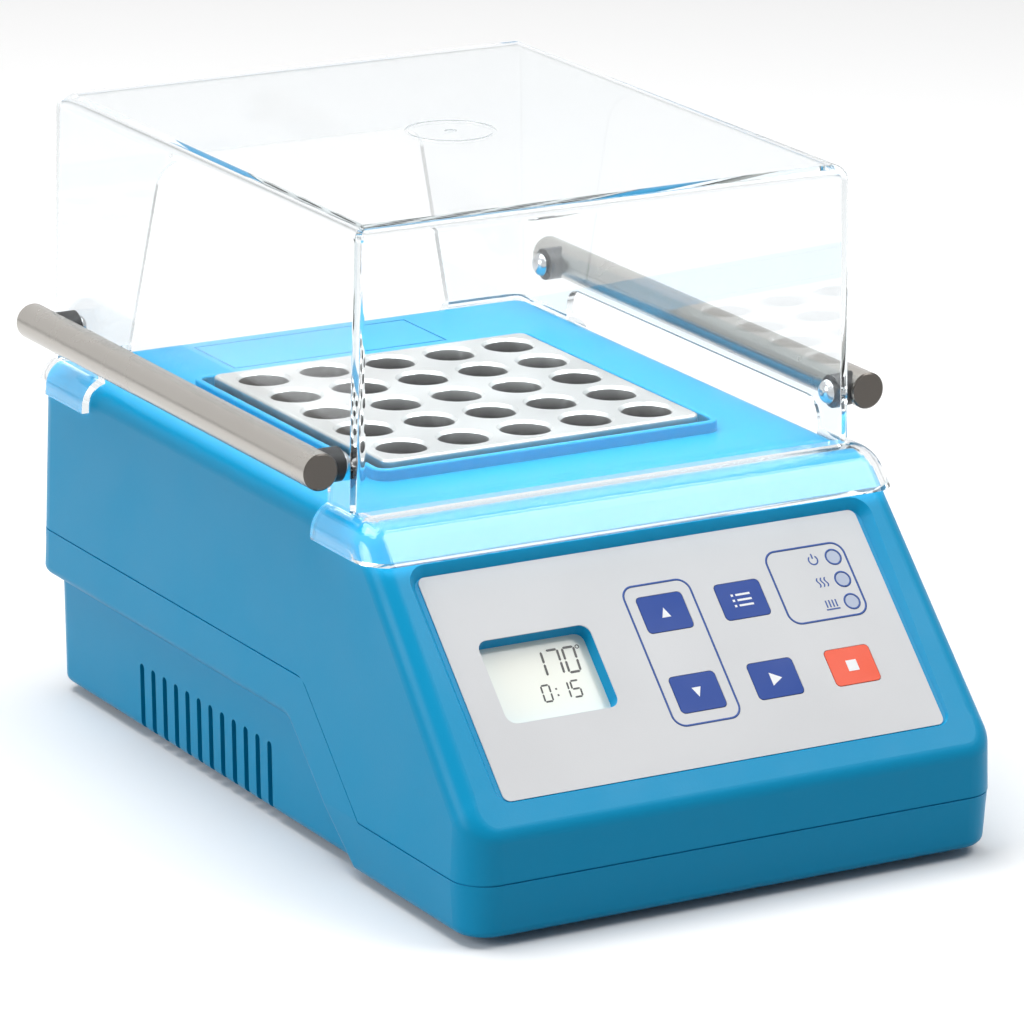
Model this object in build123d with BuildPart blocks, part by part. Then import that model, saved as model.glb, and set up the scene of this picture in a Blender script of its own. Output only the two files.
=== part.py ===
from build123d import *
from math import cos, radians, sin, tan
import os

os.makedirs("parts", exist_ok=True)

# A bench heater for 25 test tubes. Millimetres, +Z up, the operator's side at -Y. The bench is at
# z = 0 and the origin is the middle of the overall outline.

# Body: two moulded shells that meet at a stepped parting line
body_width = 190.0
body_depth = 302.0
body_draft = 1.6
corner_radius = 12.0
rim_radius = 7.0
bend_radius = 12.0
shell_wall = 3.0
foot_height = 3.0
front_parting = 20.9
side_parting = 56.7
top_height = 113.5
parting_bend_rear = 109.4
parting_bend_front = 70.5
band_edge_height = 40.5
band_bend_rear = 119.6
band_bend_front = 76.6
band_bend_radius = 9.0
nose_draft = 4.0
lower_inset = 4.0
lower_rear_inset = 7.8
lower_draft = 1.2
lower_edge_radius = 3.0
inner_edge_radius = 1.0
parting_groove_depth = 0.6
parting_groove_width = 0.5
rear_band_draft = 7.0
vent_count = 12
vent_pitch = 8.26
vent_width = 3.0
vent_top = 26.2
vent_middle = 184.4

# Control panel, tilted towards the operator
panel_angle = 44.6
panel_from_front = 36.0
panel_height = 71.45
film_width = 158.4
film_height = 78.7
film_thickness = 0.4
film_corner = 2.5
film_clearance = 0.1
recess_top_depth = 2.9
recess_bottom_depth = 0.3
recess_border = 1.6
recess_wall_angle = 40.0
panel_wall = 2.6
key_width = 16.3
key_height = 12.8
key_corner = 1.5
key_clearance = 0.2
key_proud = 0.1
key_travel = 0.5
key_row = 14.3
key_columns = (-0.9, 27.3, 55.6)
lamp_radius = 2.3
lamp_clearance = 0.15
lamp_column = 65.0
lamp_middle = 15.7
lamp_pitch = 8.15
window_x = -48.2
window_y = 0.3
window_width = 39.6
window_height = 29.3
window_corner = 3.5
window_depth = 4.9
window_taper = 6.0

# Heater block with its wells
block_from_front = 182.1
block_size = 116.0
block_height = 75.0
block_top = 118.6
block_corner = 3.0
well_pitch = 22.6
well_rows = 5
well_radius = 8.25
well_depth = 62.0
well_chamfer = 1.0
block_gap = 3.0
curb_width = 2.3
curb_top = 117.2

# Clear cover with its two bars
gate_from_front = 186.0
gate_radius = 15.0
gate_line = 1.2
gate_depth = 0.4
gate_dot = 2.0
cover_from_front = 190.5
cover_width = 180.8
cover_length = 215.0
cover_base = 116.1
cover_top = 205.8
cover_draft = 1.1
cover_wall = 2.6
cover_corner = 4.0
cover_edge_radius = 4.5
lip_bottom = 104.5
lip_gap = 0.3
window_edge_front = 100.8
window_edge_rear = 262.0
side_window_top = 125.5
side_window_corner = 7.0
rear_window_bottom_width = 120.0
rear_window_top_width = 97.0
rear_window_top = 177.4
rear_window_corner = 9.0
bar_radius = 6.0
bar_length = 205.0
bar_x = 99.4
bar_height = 129.5
standoff_from_front = (94.5, 279.5)
standoff_radius = 5.5
bar_screw_radius = 2.0
bar_screw_bite = 5.0
bar_screw_head = 4.0
bar_screw_dome = 2.2

# Places that follow from the sizes above
lip_reach = lip_gap + cover_wall - (lip_bottom - side_parting) * tan(radians(body_draft))
front_y = -(body_depth + lip_reach) / 2
rear_y = front_y + body_depth
block_y = front_y + block_from_front
block_bottom = block_top - block_height
cover_y = front_y + cover_from_front
lower_rear_y = rear_y - lower_rear_inset
panel = Plane(
    origin=(0, front_y + panel_from_front, panel_height),
    x_dir=(1, 0, 0),
    z_dir=(0, -sin(radians(panel_angle)), cos(radians(panel_angle))),
)
panel_back = -film_thickness - panel_wall


def panel_point(up, lift):
    """Y and Z of a point of the panel, by its way up the slope and its height over the film."""
    point = panel.from_local_coords(Vector(0, up, lift))
    return (point.Y, point.Z)


def half_width(height):
    """Half the body's width at a height."""
    return body_width / 2 + (side_parting - height) * tan(radians(body_draft))


def outer_edges(faces):
    """The edges round a patch of neighbouring faces."""
    edges = [edge for face in faces for edge in face.edges()]
    return [edge for edge in edges if sum(edge.is_same(other) for other in edges) == 1]


def body_block(grow, low, high):
    """Rounded block that narrows upwards by the draft, larger than the body by grow all round."""
    front = front_y + (low - front_parting) * tan(radians(body_draft)) - grow
    rear = rear_y - (low - side_parting) * tan(radians(body_draft)) + grow
    with BuildPart() as block:
        with BuildSketch(Plane.XY.offset(low)):
            with Locations((0, (front + rear) / 2)):
                RectangleRounded(2 * (half_width(low) + grow), rear - front, corner_radius + grow)
        extrude(amount=high - low, taper=body_draft)
    return block.part


def body_form(grow, slope, rim):
    """The closed body, larger by grow, with a slope through two points and a rounded rim."""
    (low_y, low_z), (high_y, high_z) = slope
    run = (high_y - low_y) / (high_z - low_z)
    floor = front_parting - 2 * corner_radius
    top = top_height + grow
    with BuildPart() as form:
        add(body_block(grow, floor + corner_radius, top + corner_radius))
        with BuildSketch(Plane.YZ) as side_view:
            with BuildLine():
                Polyline(
                    (rear_y + body_width, floor),
                    (rear_y + body_width, top),
                    (low_y + (top - low_z) * run, top),
                    (low_y + (floor - low_z) * run, floor),
                    close=True,
                )
            make_face()
            bend = side_view.vertices().group_by(Axis.Y)[-1].sort_by(Axis.X)[0]
            fillet(bend, bend_radius + grow)
        extrude(amount=body_width, both=True, mode=Mode.INTERSECT)
        lids = form.faces().filter_by(lambda f: abs(f.normal_at().X) < 0.01 and f.normal_at().Z > 0.2)
        fillet(outer_edges(lids), rim)
    return form.part


def slope_over_film(grow):
    """Two points of the slope's outer face, moved out by grow."""
    low = panel_point(-film_height / 2, recess_bottom_depth + grow)
    high = panel_point(film_height / 2, recess_top_depth + grow)
    return low, high


slope_behind_film = (panel_point(-film_height / 2, panel_back), panel_point(film_height / 2, panel_back))
parting_line = (
    (rear_y + body_width, side_parting),
    (front_y + parting_bend_rear, side_parting),
    (front_y + parting_bend_front, front_parting),
    (front_y - body_width, front_parting),
)
band_edge = (
    (rear_y + body_width, band_edge_height),
    (front_y + band_bend_rear, band_edge_height),
    (front_y + band_bend_front, foot_height),
)


def side_region(points, bends, radius):
    """Slab across the whole body from a closed side view, with some of its corners rounded."""
    with BuildPart() as region:
        with BuildSketch(Plane.YZ) as view:
            with BuildLine():
                Polyline(*points, close=True)
            make_face()
            corners = [v for v in view.vertices() for b in bends if (v.X - b[0]) ** 2 + (v.Y - b[1]) ** 2 < 1e-6]
            fillet(corners, radius)
        extrude(amount=body_width, both=True)
    return region.part


# Posts that the long housing screws run through, in both shells
rear_post_x = 80.0
rear_post_y = front_y + 281.5
front_post_x = 81.0
front_post_y = front_y + 42.0
post_radius = 4.5
post_foot_radius = 5.5
post_screw_radius = 1.9
post_hole_clearance = 0.3
post_head_radius = 3.6
post_head_height = 2.6
post_head_depth = 9.0
post_bite = 12.0
rear_posts = [(-rear_post_x, rear_post_y), (rear_post_x, rear_post_y)]
front_posts = [(-front_post_x, front_post_y), (front_post_x, front_post_y)]

# Board behind the panel, screwed to four bosses of the upper shell
board_depth = -12.0
board_thickness = 1.6
control_board_width = 150.0
control_board_height = 64.0
board_screw_radius = 1.3
board_boss_radius = 3.2
board_screw_x = 71.0
board_screw_y = 28.5
board_screw_bite = 6.0
window_collar_wall = 1.6

with BuildPart() as upper_posts:
    with BuildSketch(Plane.XY.offset(side_parting)):
        with Locations(*rear_posts):
            Circle(post_radius)
    extrude(amount=top_height - side_parting)
    with BuildSketch(Plane.XY.offset(front_parting)):
        with Locations(*front_posts):
            Circle(post_radius)
    extrude(amount=top_height - front_parting)
    with BuildSketch(panel.offset(board_depth)):
        with GridLocations(2 * board_screw_x, 2 * board_screw_y, 2, 2):
            Circle(board_boss_radius)
    extrude(amount=-board_depth)
    with BuildSketch(panel.offset(-window_depth)):
        with Locations((window_x, window_y)):
            RectangleRounded(
                window_width + 2 * window_collar_wall,
                window_height + 2 * window_collar_wall,
                window_corner + window_collar_wall,
            )
    extrude(amount=window_depth)
    add(body_form(-shell_wall / 2, slope_over_film(-shell_wall / 2), rim_radius - shell_wall / 2), mode=Mode.INTERSECT)

engraving_width = 79.0
engraving_depth = 30.6
engraving_from_front = 274.7
engraving_line = 0.8
engraving_sink = 0.5
curb_edge = 0.7
aperture = block_size + 2 * block_gap

with BuildPart() as upper_housing:
    add(body_form(0, slope_over_film(0), rim_radius))
    add(body_form(-shell_wall, slope_behind_film, rim_radius - shell_wall), mode=Mode.SUBTRACT)
    above_parting = parting_line + ((front_y - body_width, 2 * top_height), (rear_y + body_width, 2 * top_height))
    add(side_region(above_parting, parting_line[1:3], band_bend_radius), mode=Mode.INTERSECT)
    add(upper_posts.part)
    # Pilot holes of the posts and bosses
    with BuildSketch(Plane.XY.offset(front_parting)):
        with Locations(*front_posts):
            Circle(post_screw_radius)
    extrude(amount=post_bite, mode=Mode.SUBTRACT)
    with BuildSketch(Plane.XY.offset(side_parting)):
        with Locations(*rear_posts):
            Circle(post_screw_radius)
    extrude(amount=post_bite, mode=Mode.SUBTRACT)
    with BuildSketch(panel.offset(board_depth)):
        with GridLocations(2 * board_screw_x, 2 * board_screw_y, 2, 2):
            Circle(board_screw_radius)
    extrude(amount=board_screw_bite, mode=Mode.SUBTRACT)
    # Raised curb round the block, and the opening that the block stands in
    with BuildSketch(Plane.XY.offset(top_height - shell_wall / 2)):
        with Locations((0, block_y)):
            RectangleRounded(aperture + 2 * curb_width, aperture + 2 * curb_width, block_corner + curb_width)
    extrude(amount=curb_top - top_height + shell_wall / 2)
    with BuildSketch(Plane.XY.offset(top_height - 2 * shell_wall)):
        with Locations((0, block_y)):
            RectangleRounded(aperture, aperture, block_corner)
    extrude(amount=curb_top, mode=Mode.SUBTRACT)
    fillet(upper_housing.faces().filter_by(Axis.Z).sort_by(Axis.Z)[-1].edges(), curb_edge)
    # Shallow line round the bare field behind the block
    with BuildSketch(Plane.XY.offset(top_height)):
        with Locations((0, front_y + engraving_from_front)):
            Rectangle(engraving_width, engraving_depth)
            Rectangle(engraving_width - 2 * engraving_line, engraving_depth - 2 * engraving_line, mode=Mode.SUBTRACT)
    extrude(amount=-engraving_sink, mode=Mode.SUBTRACT)
    # Recess for the film, with sloping walls
    with BuildSketch(panel.offset(-film_thickness)):
        RectangleRounded(film_width + 2 * recess_border, film_height + 2 * film_clearance, film_corner + recess_border)
    extrude(amount=2 * recess_top_depth, taper=-recess_wall_angle, mode=Mode.SUBTRACT)
    # Window, key holes and lamp holes
    with BuildSketch(panel):
        with Locations((window_x, window_y)):
            RectangleRounded(window_width, window_height, window_corner)
    extrude(amount=-2 * window_depth, taper=window_taper, mode=Mode.SUBTRACT)
    with BuildSketch(panel):
        with Locations(*[(x, -key_row) for x in key_columns], *[(x, key_row) for x in key_columns[:2]]):
            RectangleRounded(key_width + 2 * key_clearance, key_height + 2 * key_clearance, key_corner + key_clearance)
        with Locations((lamp_column, lamp_middle)):
            with GridLocations(0, lamp_pitch, 1, 3):
                Circle(lamp_radius + lamp_clearance)
    extrude(amount=2 * panel_back, mode=Mode.SUBTRACT)
upper_housing.part.label = "upper_housing"
export_step(upper_housing.part, "parts/upper_housing.step")

# Lower shell: a nose that closes the front, a band under the parting line and an inset lower body
foot_radius = 8.0
foot_stem_radius = 2.6
foot_barb_radius = 3.4
foot_neck_length = 0.3
front_feet = (80.0, front_y + 22.0)
rear_feet = (78.0, lower_rear_y - 32.0)
feet_points = [(side * x, y) for x, y in (front_feet, rear_feet) for side in (-1, 1)]
floor_top = foot_height + shell_wall

power_board_width = 140.0
power_board_length = 73.0
power_board_thickness = 1.6
power_board_height = 14.0
power_board_y = front_y + 56.0
power_board_screw_x = 65.0
power_board_screw_y = 31.5
power_boss_radius = 3.5

shield_half = 71.0
shield_sheet = 1.0
shield_floor = 30.0
shield_top = 107.0
shield_flange = 13.0
shield_flange_half = 55.0
shield_screw_x = 77.5
shield_screw_y = 45.0
shield_boss_radius = 4.5
shield_screw_radius = 1.6
pilot_radius = 1.3
pilot_depth = 8.0

# The rear wall leans with the draft, and what is set in it stands on its plane, seen from behind
rear_wall = Plane(
    origin=(0, lower_rear_y, band_edge_height),
    x_dir=(-1, 0, 0),
    z_dir=(0, cos(radians(lower_draft)), -sin(radians(lower_draft))),
)
wall_fit = 0.1
inlet_x = -45.0
inlet_y = -18.0
inlet_flange_width = 50.0
inlet_flange_height = 30.0
inlet_flange_thickness = 2.5
inlet_flange_corner = 3.0
inlet_body_width = 28.0
inlet_body_height = 27.0
inlet_body_depth = 21.0
inlet_screw_pitch = 40.0
inlet_screw_radius = 1.5
inlet_screw_head = 2.9
inlet_screw_length = 8.0
rocker_x = 25.0
rocker_y = -18.0
rocker_body_width = 13.0
rocker_body_height = 19.0

band_slope = ((band_bend_rear - band_bend_front), (band_edge_height - foot_height))
band_slope_length = (band_slope[0] ** 2 + band_slope[1] ** 2) ** 0.5
band_lead = band_slope[1] / (band_slope_length + band_slope[0])


def nose_block(grow):
    """Rounded block, straight over the front parting line and narrower downwards below it."""
    rear = rear_y + body_width
    width = 2 * (half_width(front_parting) + grow)
    with BuildPart() as block:
        with BuildSketch(Plane.XY.offset(front_parting)) as outline:
            with Locations((0, (front_y - grow + rear) / 2)):
                RectangleRounded(width, rear - front_y + grow, corner_radius + grow)
        extrude(amount=-front_parting, taper=nose_draft)
        extrude(outline.sketch, amount=side_parting - front_parting + post_bite)
    return block.part


def above_band(grow):
    """Slab over the lower edge of the band, with that edge moved inwards by grow."""
    edge = [(y - grow * band_lead, z + grow) for y, z in band_edge]
    nose_floor = (front_y - body_width, foot_height + grow)
    top = 2 * top_height
    points = edge + [nose_floor, (front_y - body_width, top), (rear_y + body_width, top)]
    return side_region(points, [edge[1]], band_bend_radius)


def lower_body(grow, rounding):
    """The inset body under the band, larger by grow, on a flat floor with rounded edges."""
    front = front_y + 2 * corner_radius
    rear = lower_rear_y + grow
    half = half_width(band_edge_height) - lower_inset + grow
    low = foot_height - grow
    with BuildPart() as body:
        with BuildSketch(Plane.XY.offset(band_edge_height)) as outline:
            with Locations((0, (front + rear) / 2)):
                RectangleRounded(2 * half, rear - front, corner_radius - lower_inset + grow)
        extrude(amount=low - band_edge_height, taper=lower_draft)
        fillet(body.faces().sort_by(Axis.Z)[0].edges(), rounding)
        extrude(outline.sketch, amount=shell_wall)
    return body.part


below_parting = ((rear_y, side_parting),) + parting_line[1:] + (
    (front_y - body_width, 0),
    (rear_y - side_parting * tan(radians(rear_band_draft)), 0),
)

with BuildPart() as lower_band:
    add(body_block(0, foot_height - shell_wall, side_parting + shell_wall))
    add(nose_block(0), mode=Mode.INTERSECT)
    add(side_region(below_parting, parting_line[1:3], band_bend_radius), mode=Mode.INTERSECT)
    add(above_band(0), mode=Mode.INTERSECT)
    undersides = lower_band.faces().filter_by(lambda f: abs(f.normal_at().X) < 0.01 and f.normal_at().Z < -0.5)
    fillet(outer_edges(undersides), lower_edge_radius)

with BuildPart() as lower_cavity:
    add(body_block(-shell_wall, foot_height - shell_wall, side_parting + shell_wall))
    add(nose_block(-shell_wall), mode=Mode.INTERSECT)
    add(above_band(shell_wall), mode=Mode.INTERSECT)
    add(lower_body(-shell_wall, inner_edge_radius))

with BuildPart() as lower_posts:
    with BuildSketch(Plane.XY.offset(foot_height + lower_edge_radius / 2)):
        with Locations(*rear_posts):
            Circle(post_foot_radius)
    extrude(amount=side_parting - foot_height - lower_edge_radius / 2)
    with BuildSketch(Plane.XY.offset(foot_height + lower_edge_radius / 2)):
        with Locations(*front_posts):
            Circle(post_foot_radius)
    extrude(amount=front_parting - foot_height - lower_edge_radius / 2)
    with BuildSketch(Plane.XY.offset(foot_height + lower_edge_radius / 2)):
        with Locations((0, power_board_y)):
            with GridLocations(2 * power_board_screw_x, 2 * power_board_screw_y, 2, 2):
                Circle(power_boss_radius)
    extrude(amount=power_board_height - foot_height - lower_edge_radius / 2)
    with BuildSketch(Plane.XY.offset(foot_height + lower_edge_radius / 2)):
        with Locations((0, block_y)):
            with GridLocations(2 * shield_screw_x, 2 * shield_screw_y, 2, 2):
                Circle(shield_boss_radius)
    extrude(amount=shield_floor - foot_height - lower_edge_radius / 2)

with BuildPart() as parting_groove:
    lowered = [(y, z - parting_groove_width) for y, z in parting_line]
    add(side_region(tuple(parting_line) + tuple(reversed(lowered)), [], 0))
    add(body_block(-parting_groove_depth, 0, side_parting + shell_wall), mode=Mode.SUBTRACT)

with BuildPart() as lower_housing:
    add(lower_band.part)
    add(lower_body(0, lower_edge_radius))
    add(lower_cavity.part, mode=Mode.SUBTRACT)
    add(lower_posts.part)
    add(parting_groove.part, mode=Mode.SUBTRACT)
    # Screw holes through the posts, with deep seats for the heads
    with BuildSketch():
        with Locations(*rear_posts, *front_posts):
            Circle(post_screw_radius + post_hole_clearance)
    extrude(amount=side_parting, mode=Mode.SUBTRACT)
    with BuildSketch():
        with Locations(*rear_posts, *front_posts):
            Circle(post_head_radius + post_hole_clearance)
    extrude(amount=foot_height + post_head_depth, mode=Mode.SUBTRACT)
    with BuildSketch(Plane.XY.offset(power_board_height)):
        with Locations((0, power_board_y)):
            with GridLocations(2 * power_board_screw_x, 2 * power_board_screw_y, 2, 2):
                Circle(pilot_radius)
    extrude(amount=-pilot_depth, mode=Mode.SUBTRACT)
    with BuildSketch(Plane.XY.offset(shield_floor)):
        with Locations((0, block_y)):
            with GridLocations(2 * shield_screw_x, 2 * shield_screw_y, 2, 2):
                Circle(shield_screw_radius)
    extrude(amount=-pilot_depth, mode=Mode.SUBTRACT)
    with BuildSketch():
        with Locations(*feet_points):
            Circle(foot_stem_radius + wall_fit)
    extrude(amount=floor_top, mode=Mode.SUBTRACT)
    # Vent slots, open at the floor's edge
    vent_inside = half_width(band_edge_height) - lower_inset - 1.5 * shell_wall
    for side in (-1, 1):
        with BuildSketch(Plane.YZ.offset(side * vent_inside)):
            with Locations((front_y + vent_middle, 0)):
                with GridLocations(vent_pitch, 0, vent_count, 1):
                    SlotOverall(2 * vent_top, vent_width, rotation=90)
        extrude(amount=side * shell_wall * 4, mode=Mode.SUBTRACT)
    # Cut-outs of the mains inlet and the rocker switch, and the inlet's screw holes
    with BuildSketch(rear_wall):
        with Locations((inlet_x, inlet_y)):
            Rectangle(inlet_body_width + 2 * wall_fit, inlet_body_height + 2 * wall_fit)
            with GridLocations(inlet_screw_pitch, 0, 2, 1):
                Circle(inlet_screw_radius + wall_fit)
        with Locations((rocker_x, rocker_y)):
            Rectangle(rocker_body_width + 2 * wall_fit, rocker_body_height + 2 * wall_fit)
    extrude(amount=-2 * shell_wall, mode=Mode.SUBTRACT)
lower_housing.part.label = "lower_housing"
export_step(lower_housing.part, "parts/lower_housing.step")

with BuildPart() as housing_screws:
    for points, low, high in ((rear_posts, 0, side_parting), (front_posts, 0, front_parting)):
        seat = foot_height + post_head_depth
        with BuildSketch(Plane.XY.offset(seat - post_head_height)):
            with Locations(*points):
                Circle(post_head_radius)
        extrude(amount=post_head_height)
        with BuildSketch(Plane.XY.offset(seat)):
            with Locations(*points):
                Circle(post_screw_radius)
        extrude(amount=high + post_bite - 1 - seat)
housing_screws.part.label = "housing_screws"
export_step(housing_screws.part, "parts/housing_screws.step")

with BuildPart() as feet:
    for x, y in feet_points:
        with BuildSketch(Plane.XZ.offset(-y)):
            with BuildLine():
                barb_z = floor_top + foot_neck_length
                Polyline(
                    (x, 0),
                    (x + foot_radius - 1, 0),
                    (x + foot_radius, 1),
                    (x + foot_radius, foot_height),
                    (x + foot_stem_radius, foot_height),
                    (x + foot_stem_radius, floor_top),
                    (x + foot_barb_radius, barb_z),
                    (x + foot_stem_radius - 1, barb_z + 3),
                    (x, barb_z + 3),
                    close=True,
                )
            make_face()
        revolve(axis=Axis((x, y, 0), (0, 0, 1)))
feet.part.label = "feet"
export_step(feet.part, "parts/feet.step")

# Heater block, with its heater, the clamp under it and the tray of insulation that carries it
plate_thickness = 3.0
plate_size = 110.0
clamp_thickness = 2.0
clamp_size = 112.0
spacer_radius = 5.0
block_screw_x = 46.0
block_screw_radius = 2.0
block_screw_bite = 9.0
block_screw_head = 3.5
block_screw_head_height = 2.5
hole_clearance = 0.3
insulation_gap = 0.2
seal_half = 66.0
seal_corner = 4.0
probe_radius = 2.9
probe_bore = 3.0
probe_height = 50.0
probe_bite = 30.0
probe_collar_radius = 5.0
probe_collar = 3.0
cutout_radius = 8.0
cutout_height = 5.0
cutout_x = 24.0
block_plane = Plane((0, block_y, block_bottom))
plate_bottom = block_bottom - plate_thickness
clamp_bottom = plate_bottom - clamp_thickness
spacer_bottom = shield_floor + shield_sheet
probe_plane = Plane((0, block_y + block_size / 2, probe_height), x_dir=(-1, 0, 0), z_dir=(0, 1, 0))

with BuildPart() as heater_block:
    with BuildSketch(block_plane):
        RectangleRounded(block_size, block_size, block_corner)
    extrude(amount=block_height)
    with BuildSketch(Plane((0, block_y, block_top))):
        with GridLocations(well_pitch, well_pitch, well_rows, well_rows):
            Circle(well_radius)
    extrude(amount=-well_depth, mode=Mode.SUBTRACT)
    mouths = heater_block.faces().sort_by(Axis.Z)[-1].inner_wires()
    chamfer([edge for mouth in mouths for edge in mouth.edges()], well_chamfer)
    fillet(heater_block.faces().sort_by(Axis.Z)[-1].outer_wire().edges(), well_chamfer)
    with BuildSketch(block_plane):
        with GridLocations(2 * block_screw_x, 2 * block_screw_x, 2, 2):
            Circle(block_screw_radius)
    extrude(amount=block_screw_bite + 1, mode=Mode.SUBTRACT)
    with BuildSketch(probe_plane):
        Circle(probe_bore)
    extrude(amount=-probe_bite - 1, mode=Mode.SUBTRACT)
heater_block.part.label = "heater_block"
export_step(heater_block.part, "parts/heater_block.step")

with BuildPart() as plate_heater:
    with BuildSketch(Plane((0, block_y, plate_bottom))):
        RectangleRounded(plate_size, plate_size, block_corner)
        with GridLocations(2 * block_screw_x, 2 * block_screw_x, 2, 2):
            Circle(block_screw_radius + hole_clearance, mode=Mode.SUBTRACT)
    extrude(amount=plate_thickness)
plate_heater.part.label = "plate_heater"
export_step(plate_heater.part, "parts/plate_heater.step")

with BuildPart() as clamp_plate:
    with BuildSketch(Plane((0, block_y, clamp_bottom))):
        RectangleRounded(clamp_size, clamp_size, block_corner)
        with GridLocations(2 * block_screw_x, 2 * block_screw_x, 2, 2):
            Circle(block_screw_radius + hole_clearance, mode=Mode.SUBTRACT)
    extrude(amount=clamp_thickness)
clamp_plate.part.label = "clamp_plate"
export_step(clamp_plate.part, "parts/clamp_plate.step")

with BuildPart() as block_spacers:
    with BuildSketch(Plane((0, block_y, spacer_bottom))):
        with GridLocations(2 * block_screw_x, 2 * block_screw_x, 2, 2):
            Circle(spacer_radius)
            Circle(block_screw_radius + hole_clearance, mode=Mode.SUBTRACT)
    extrude(amount=clamp_bottom - spacer_bottom)
block_spacers.part.label = "block_spacers"
export_step(block_spacers.part, "parts/block_spacers.step")

with BuildPart() as block_screws:
    with BuildSketch(Plane((0, block_y, shield_floor - block_screw_head_height))):
        with GridLocations(2 * block_screw_x, 2 * block_screw_x, 2, 2):
            Circle(block_screw_head)
    extrude(amount=block_screw_head_height)
    with BuildSketch(Plane((0, block_y, shield_floor))):
        with GridLocations(2 * block_screw_x, 2 * block_screw_x, 2, 2):
            Circle(block_screw_radius)
    extrude(amount=block_bottom + block_screw_bite - shield_floor)
block_screws.part.label = "block_screws"
export_step(block_screws.part, "parts/block_screws.step")

with BuildPart() as heat_shield:
    with BuildSketch(Plane((0, block_y, shield_floor))):
        Rectangle(2 * (shield_half + shield_flange), 2 * shield_flange_half)
        Rectangle(2 * shield_half, 2 * shield_half)
        with GridLocations(2 * shield_screw_x, 2 * shield_screw_y, 2, 2):
            Circle(shield_screw_radius + hole_clearance, mode=Mode.SUBTRACT)
        with GridLocations(2 * block_screw_x, 2 * block_screw_x, 2, 2):
            Circle(block_screw_radius + hole_clearance, mode=Mode.SUBTRACT)
    extrude(amount=shield_sheet)
    with BuildSketch(Plane((0, block_y, shield_floor))):
        Rectangle(2 * shield_half, 2 * shield_half)
        Rectangle(2 * (shield_half - shield_sheet), 2 * (shield_half - shield_sheet), mode=Mode.SUBTRACT)
    extrude(amount=shield_top - shield_floor)
    with BuildSketch(probe_plane):
        Circle(probe_radius + 2 * hole_clearance)
    extrude(amount=2 * shield_half, mode=Mode.SUBTRACT)
heat_shield.part.label = "heat_shield"
export_step(heat_shield.part, "parts/heat_shield.step")

with BuildPart() as insulation:
    with BuildSketch(Plane((0, block_y, spacer_bottom))):
        fill = 2 * (shield_half - shield_sheet - insulation_gap)
        Rectangle(fill, fill)
        Rectangle(block_size + 2 * insulation_gap, block_size + 2 * insulation_gap, mode=Mode.SUBTRACT)
    extrude(amount=shield_top - spacer_bottom)
    with BuildSketch(probe_plane):
        Circle(probe_radius + hole_clearance)
    extrude(amount=2 * shield_half, mode=Mode.SUBTRACT)
insulation.part.label = "insulation"
export_step(insulation.part, "parts/insulation.step")

with BuildPart() as shield_screws:
    with BuildSketch(Plane((0, block_y, spacer_bottom))):
        with GridLocations(2 * shield_screw_x, 2 * shield_screw_y, 2, 2):
            Circle(2 * shield_screw_radius)
    extrude(amount=shield_screw_radius)
    with BuildSketch(Plane((0, block_y, spacer_bottom))):
        with GridLocations(2 * shield_screw_x, 2 * shield_screw_y, 2, 2):
            Circle(shield_screw_radius)
    extrude(amount=-pilot_depth)
shield_screws.part.label = "shield_screws"
export_step(shield_screws.part, "parts/shield_screws.step")

with BuildPart() as block_seal:
    with BuildSketch(Plane((0, block_y, shield_top))):
        RectangleRounded(2 * seal_half, 2 * seal_half, seal_corner)
        RectangleRounded(block_size, block_size, block_corner, mode=Mode.SUBTRACT)
    extrude(amount=top_height - shell_wall - shield_top)
block_seal.part.label = "block_seal"
export_step(block_seal.part, "parts/block_seal.step")

with BuildPart() as temperature_probe:
    with BuildSketch(probe_plane.offset(-probe_bite)):
        Circle(probe_radius)
    extrude(amount=probe_bite + shield_half - block_size / 2)
    with BuildSketch(probe_plane.offset(shield_half - block_size / 2)):
        Circle(probe_collar_radius)
    extrude(amount=probe_collar)
temperature_probe.part.label = "temperature_probe"
export_step(temperature_probe.part, "parts/temperature_probe.step")

with BuildPart() as thermal_cutout:
    with BuildSketch(Plane((cutout_x, block_y, clamp_bottom))):
        Circle(cutout_radius)
        Rectangle(3 * cutout_radius, cutout_radius)
    extrude(amount=-1)
    with BuildSketch(Plane((cutout_x, block_y, clamp_bottom - 1))):
        Circle(cutout_radius)
    extrude(amount=1 - cutout_height)
    with BuildSketch(Plane((cutout_x, block_y, clamp_bottom - cutout_height + 1))):
        Rectangle(cutout_radius / 2, 3 * cutout_radius)
    extrude(amount=-1)
thermal_cutout.part.label = "thermal_cutout"
export_step(thermal_cutout.part, "parts/thermal_cutout.step")

# Clear cover: a box with tapered walls on a lip that follows the body's rim and slope

def cover_block(grow, low, high):
    """The tapered box of the cover, larger by grow, between two heights."""
    spread = 2 * (cover_base - low) * tan(radians(cover_draft)) + 2 * grow
    with BuildPart() as block:
        with BuildSketch(Plane((0, cover_y, low))):
            RectangleRounded(cover_width + spread, cover_length + spread, cover_corner + grow)
        extrude(amount=high - low, taper=cover_draft)
    return block.part


def lip_form(grow):
    """The closed body, larger by grow, cut off under the lip."""
    with BuildPart() as form:
        add(body_form(grow, slope_over_film(grow), rim_radius + grow))
        with BuildSketch(Plane.XY.offset(lip_bottom)):
            Rectangle(2 * body_width, 2 * body_depth)
        extrude(amount=2 * top_height, mode=Mode.INTERSECT)
    return form.part


with BuildPart() as cover_box:
    add(cover_block(0, top_height, cover_top))
    fillet(cover_box.faces().sort_by(Axis.Z)[-1].edges(), cover_edge_radius)

with BuildPart() as cover_inside:
    add(cover_block(-cover_wall, lip_bottom - 1, cover_top - cover_wall))
    fillet(cover_inside.faces().sort_by(Axis.Z)[-1].edges(), cover_edge_radius - cover_wall)

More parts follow.
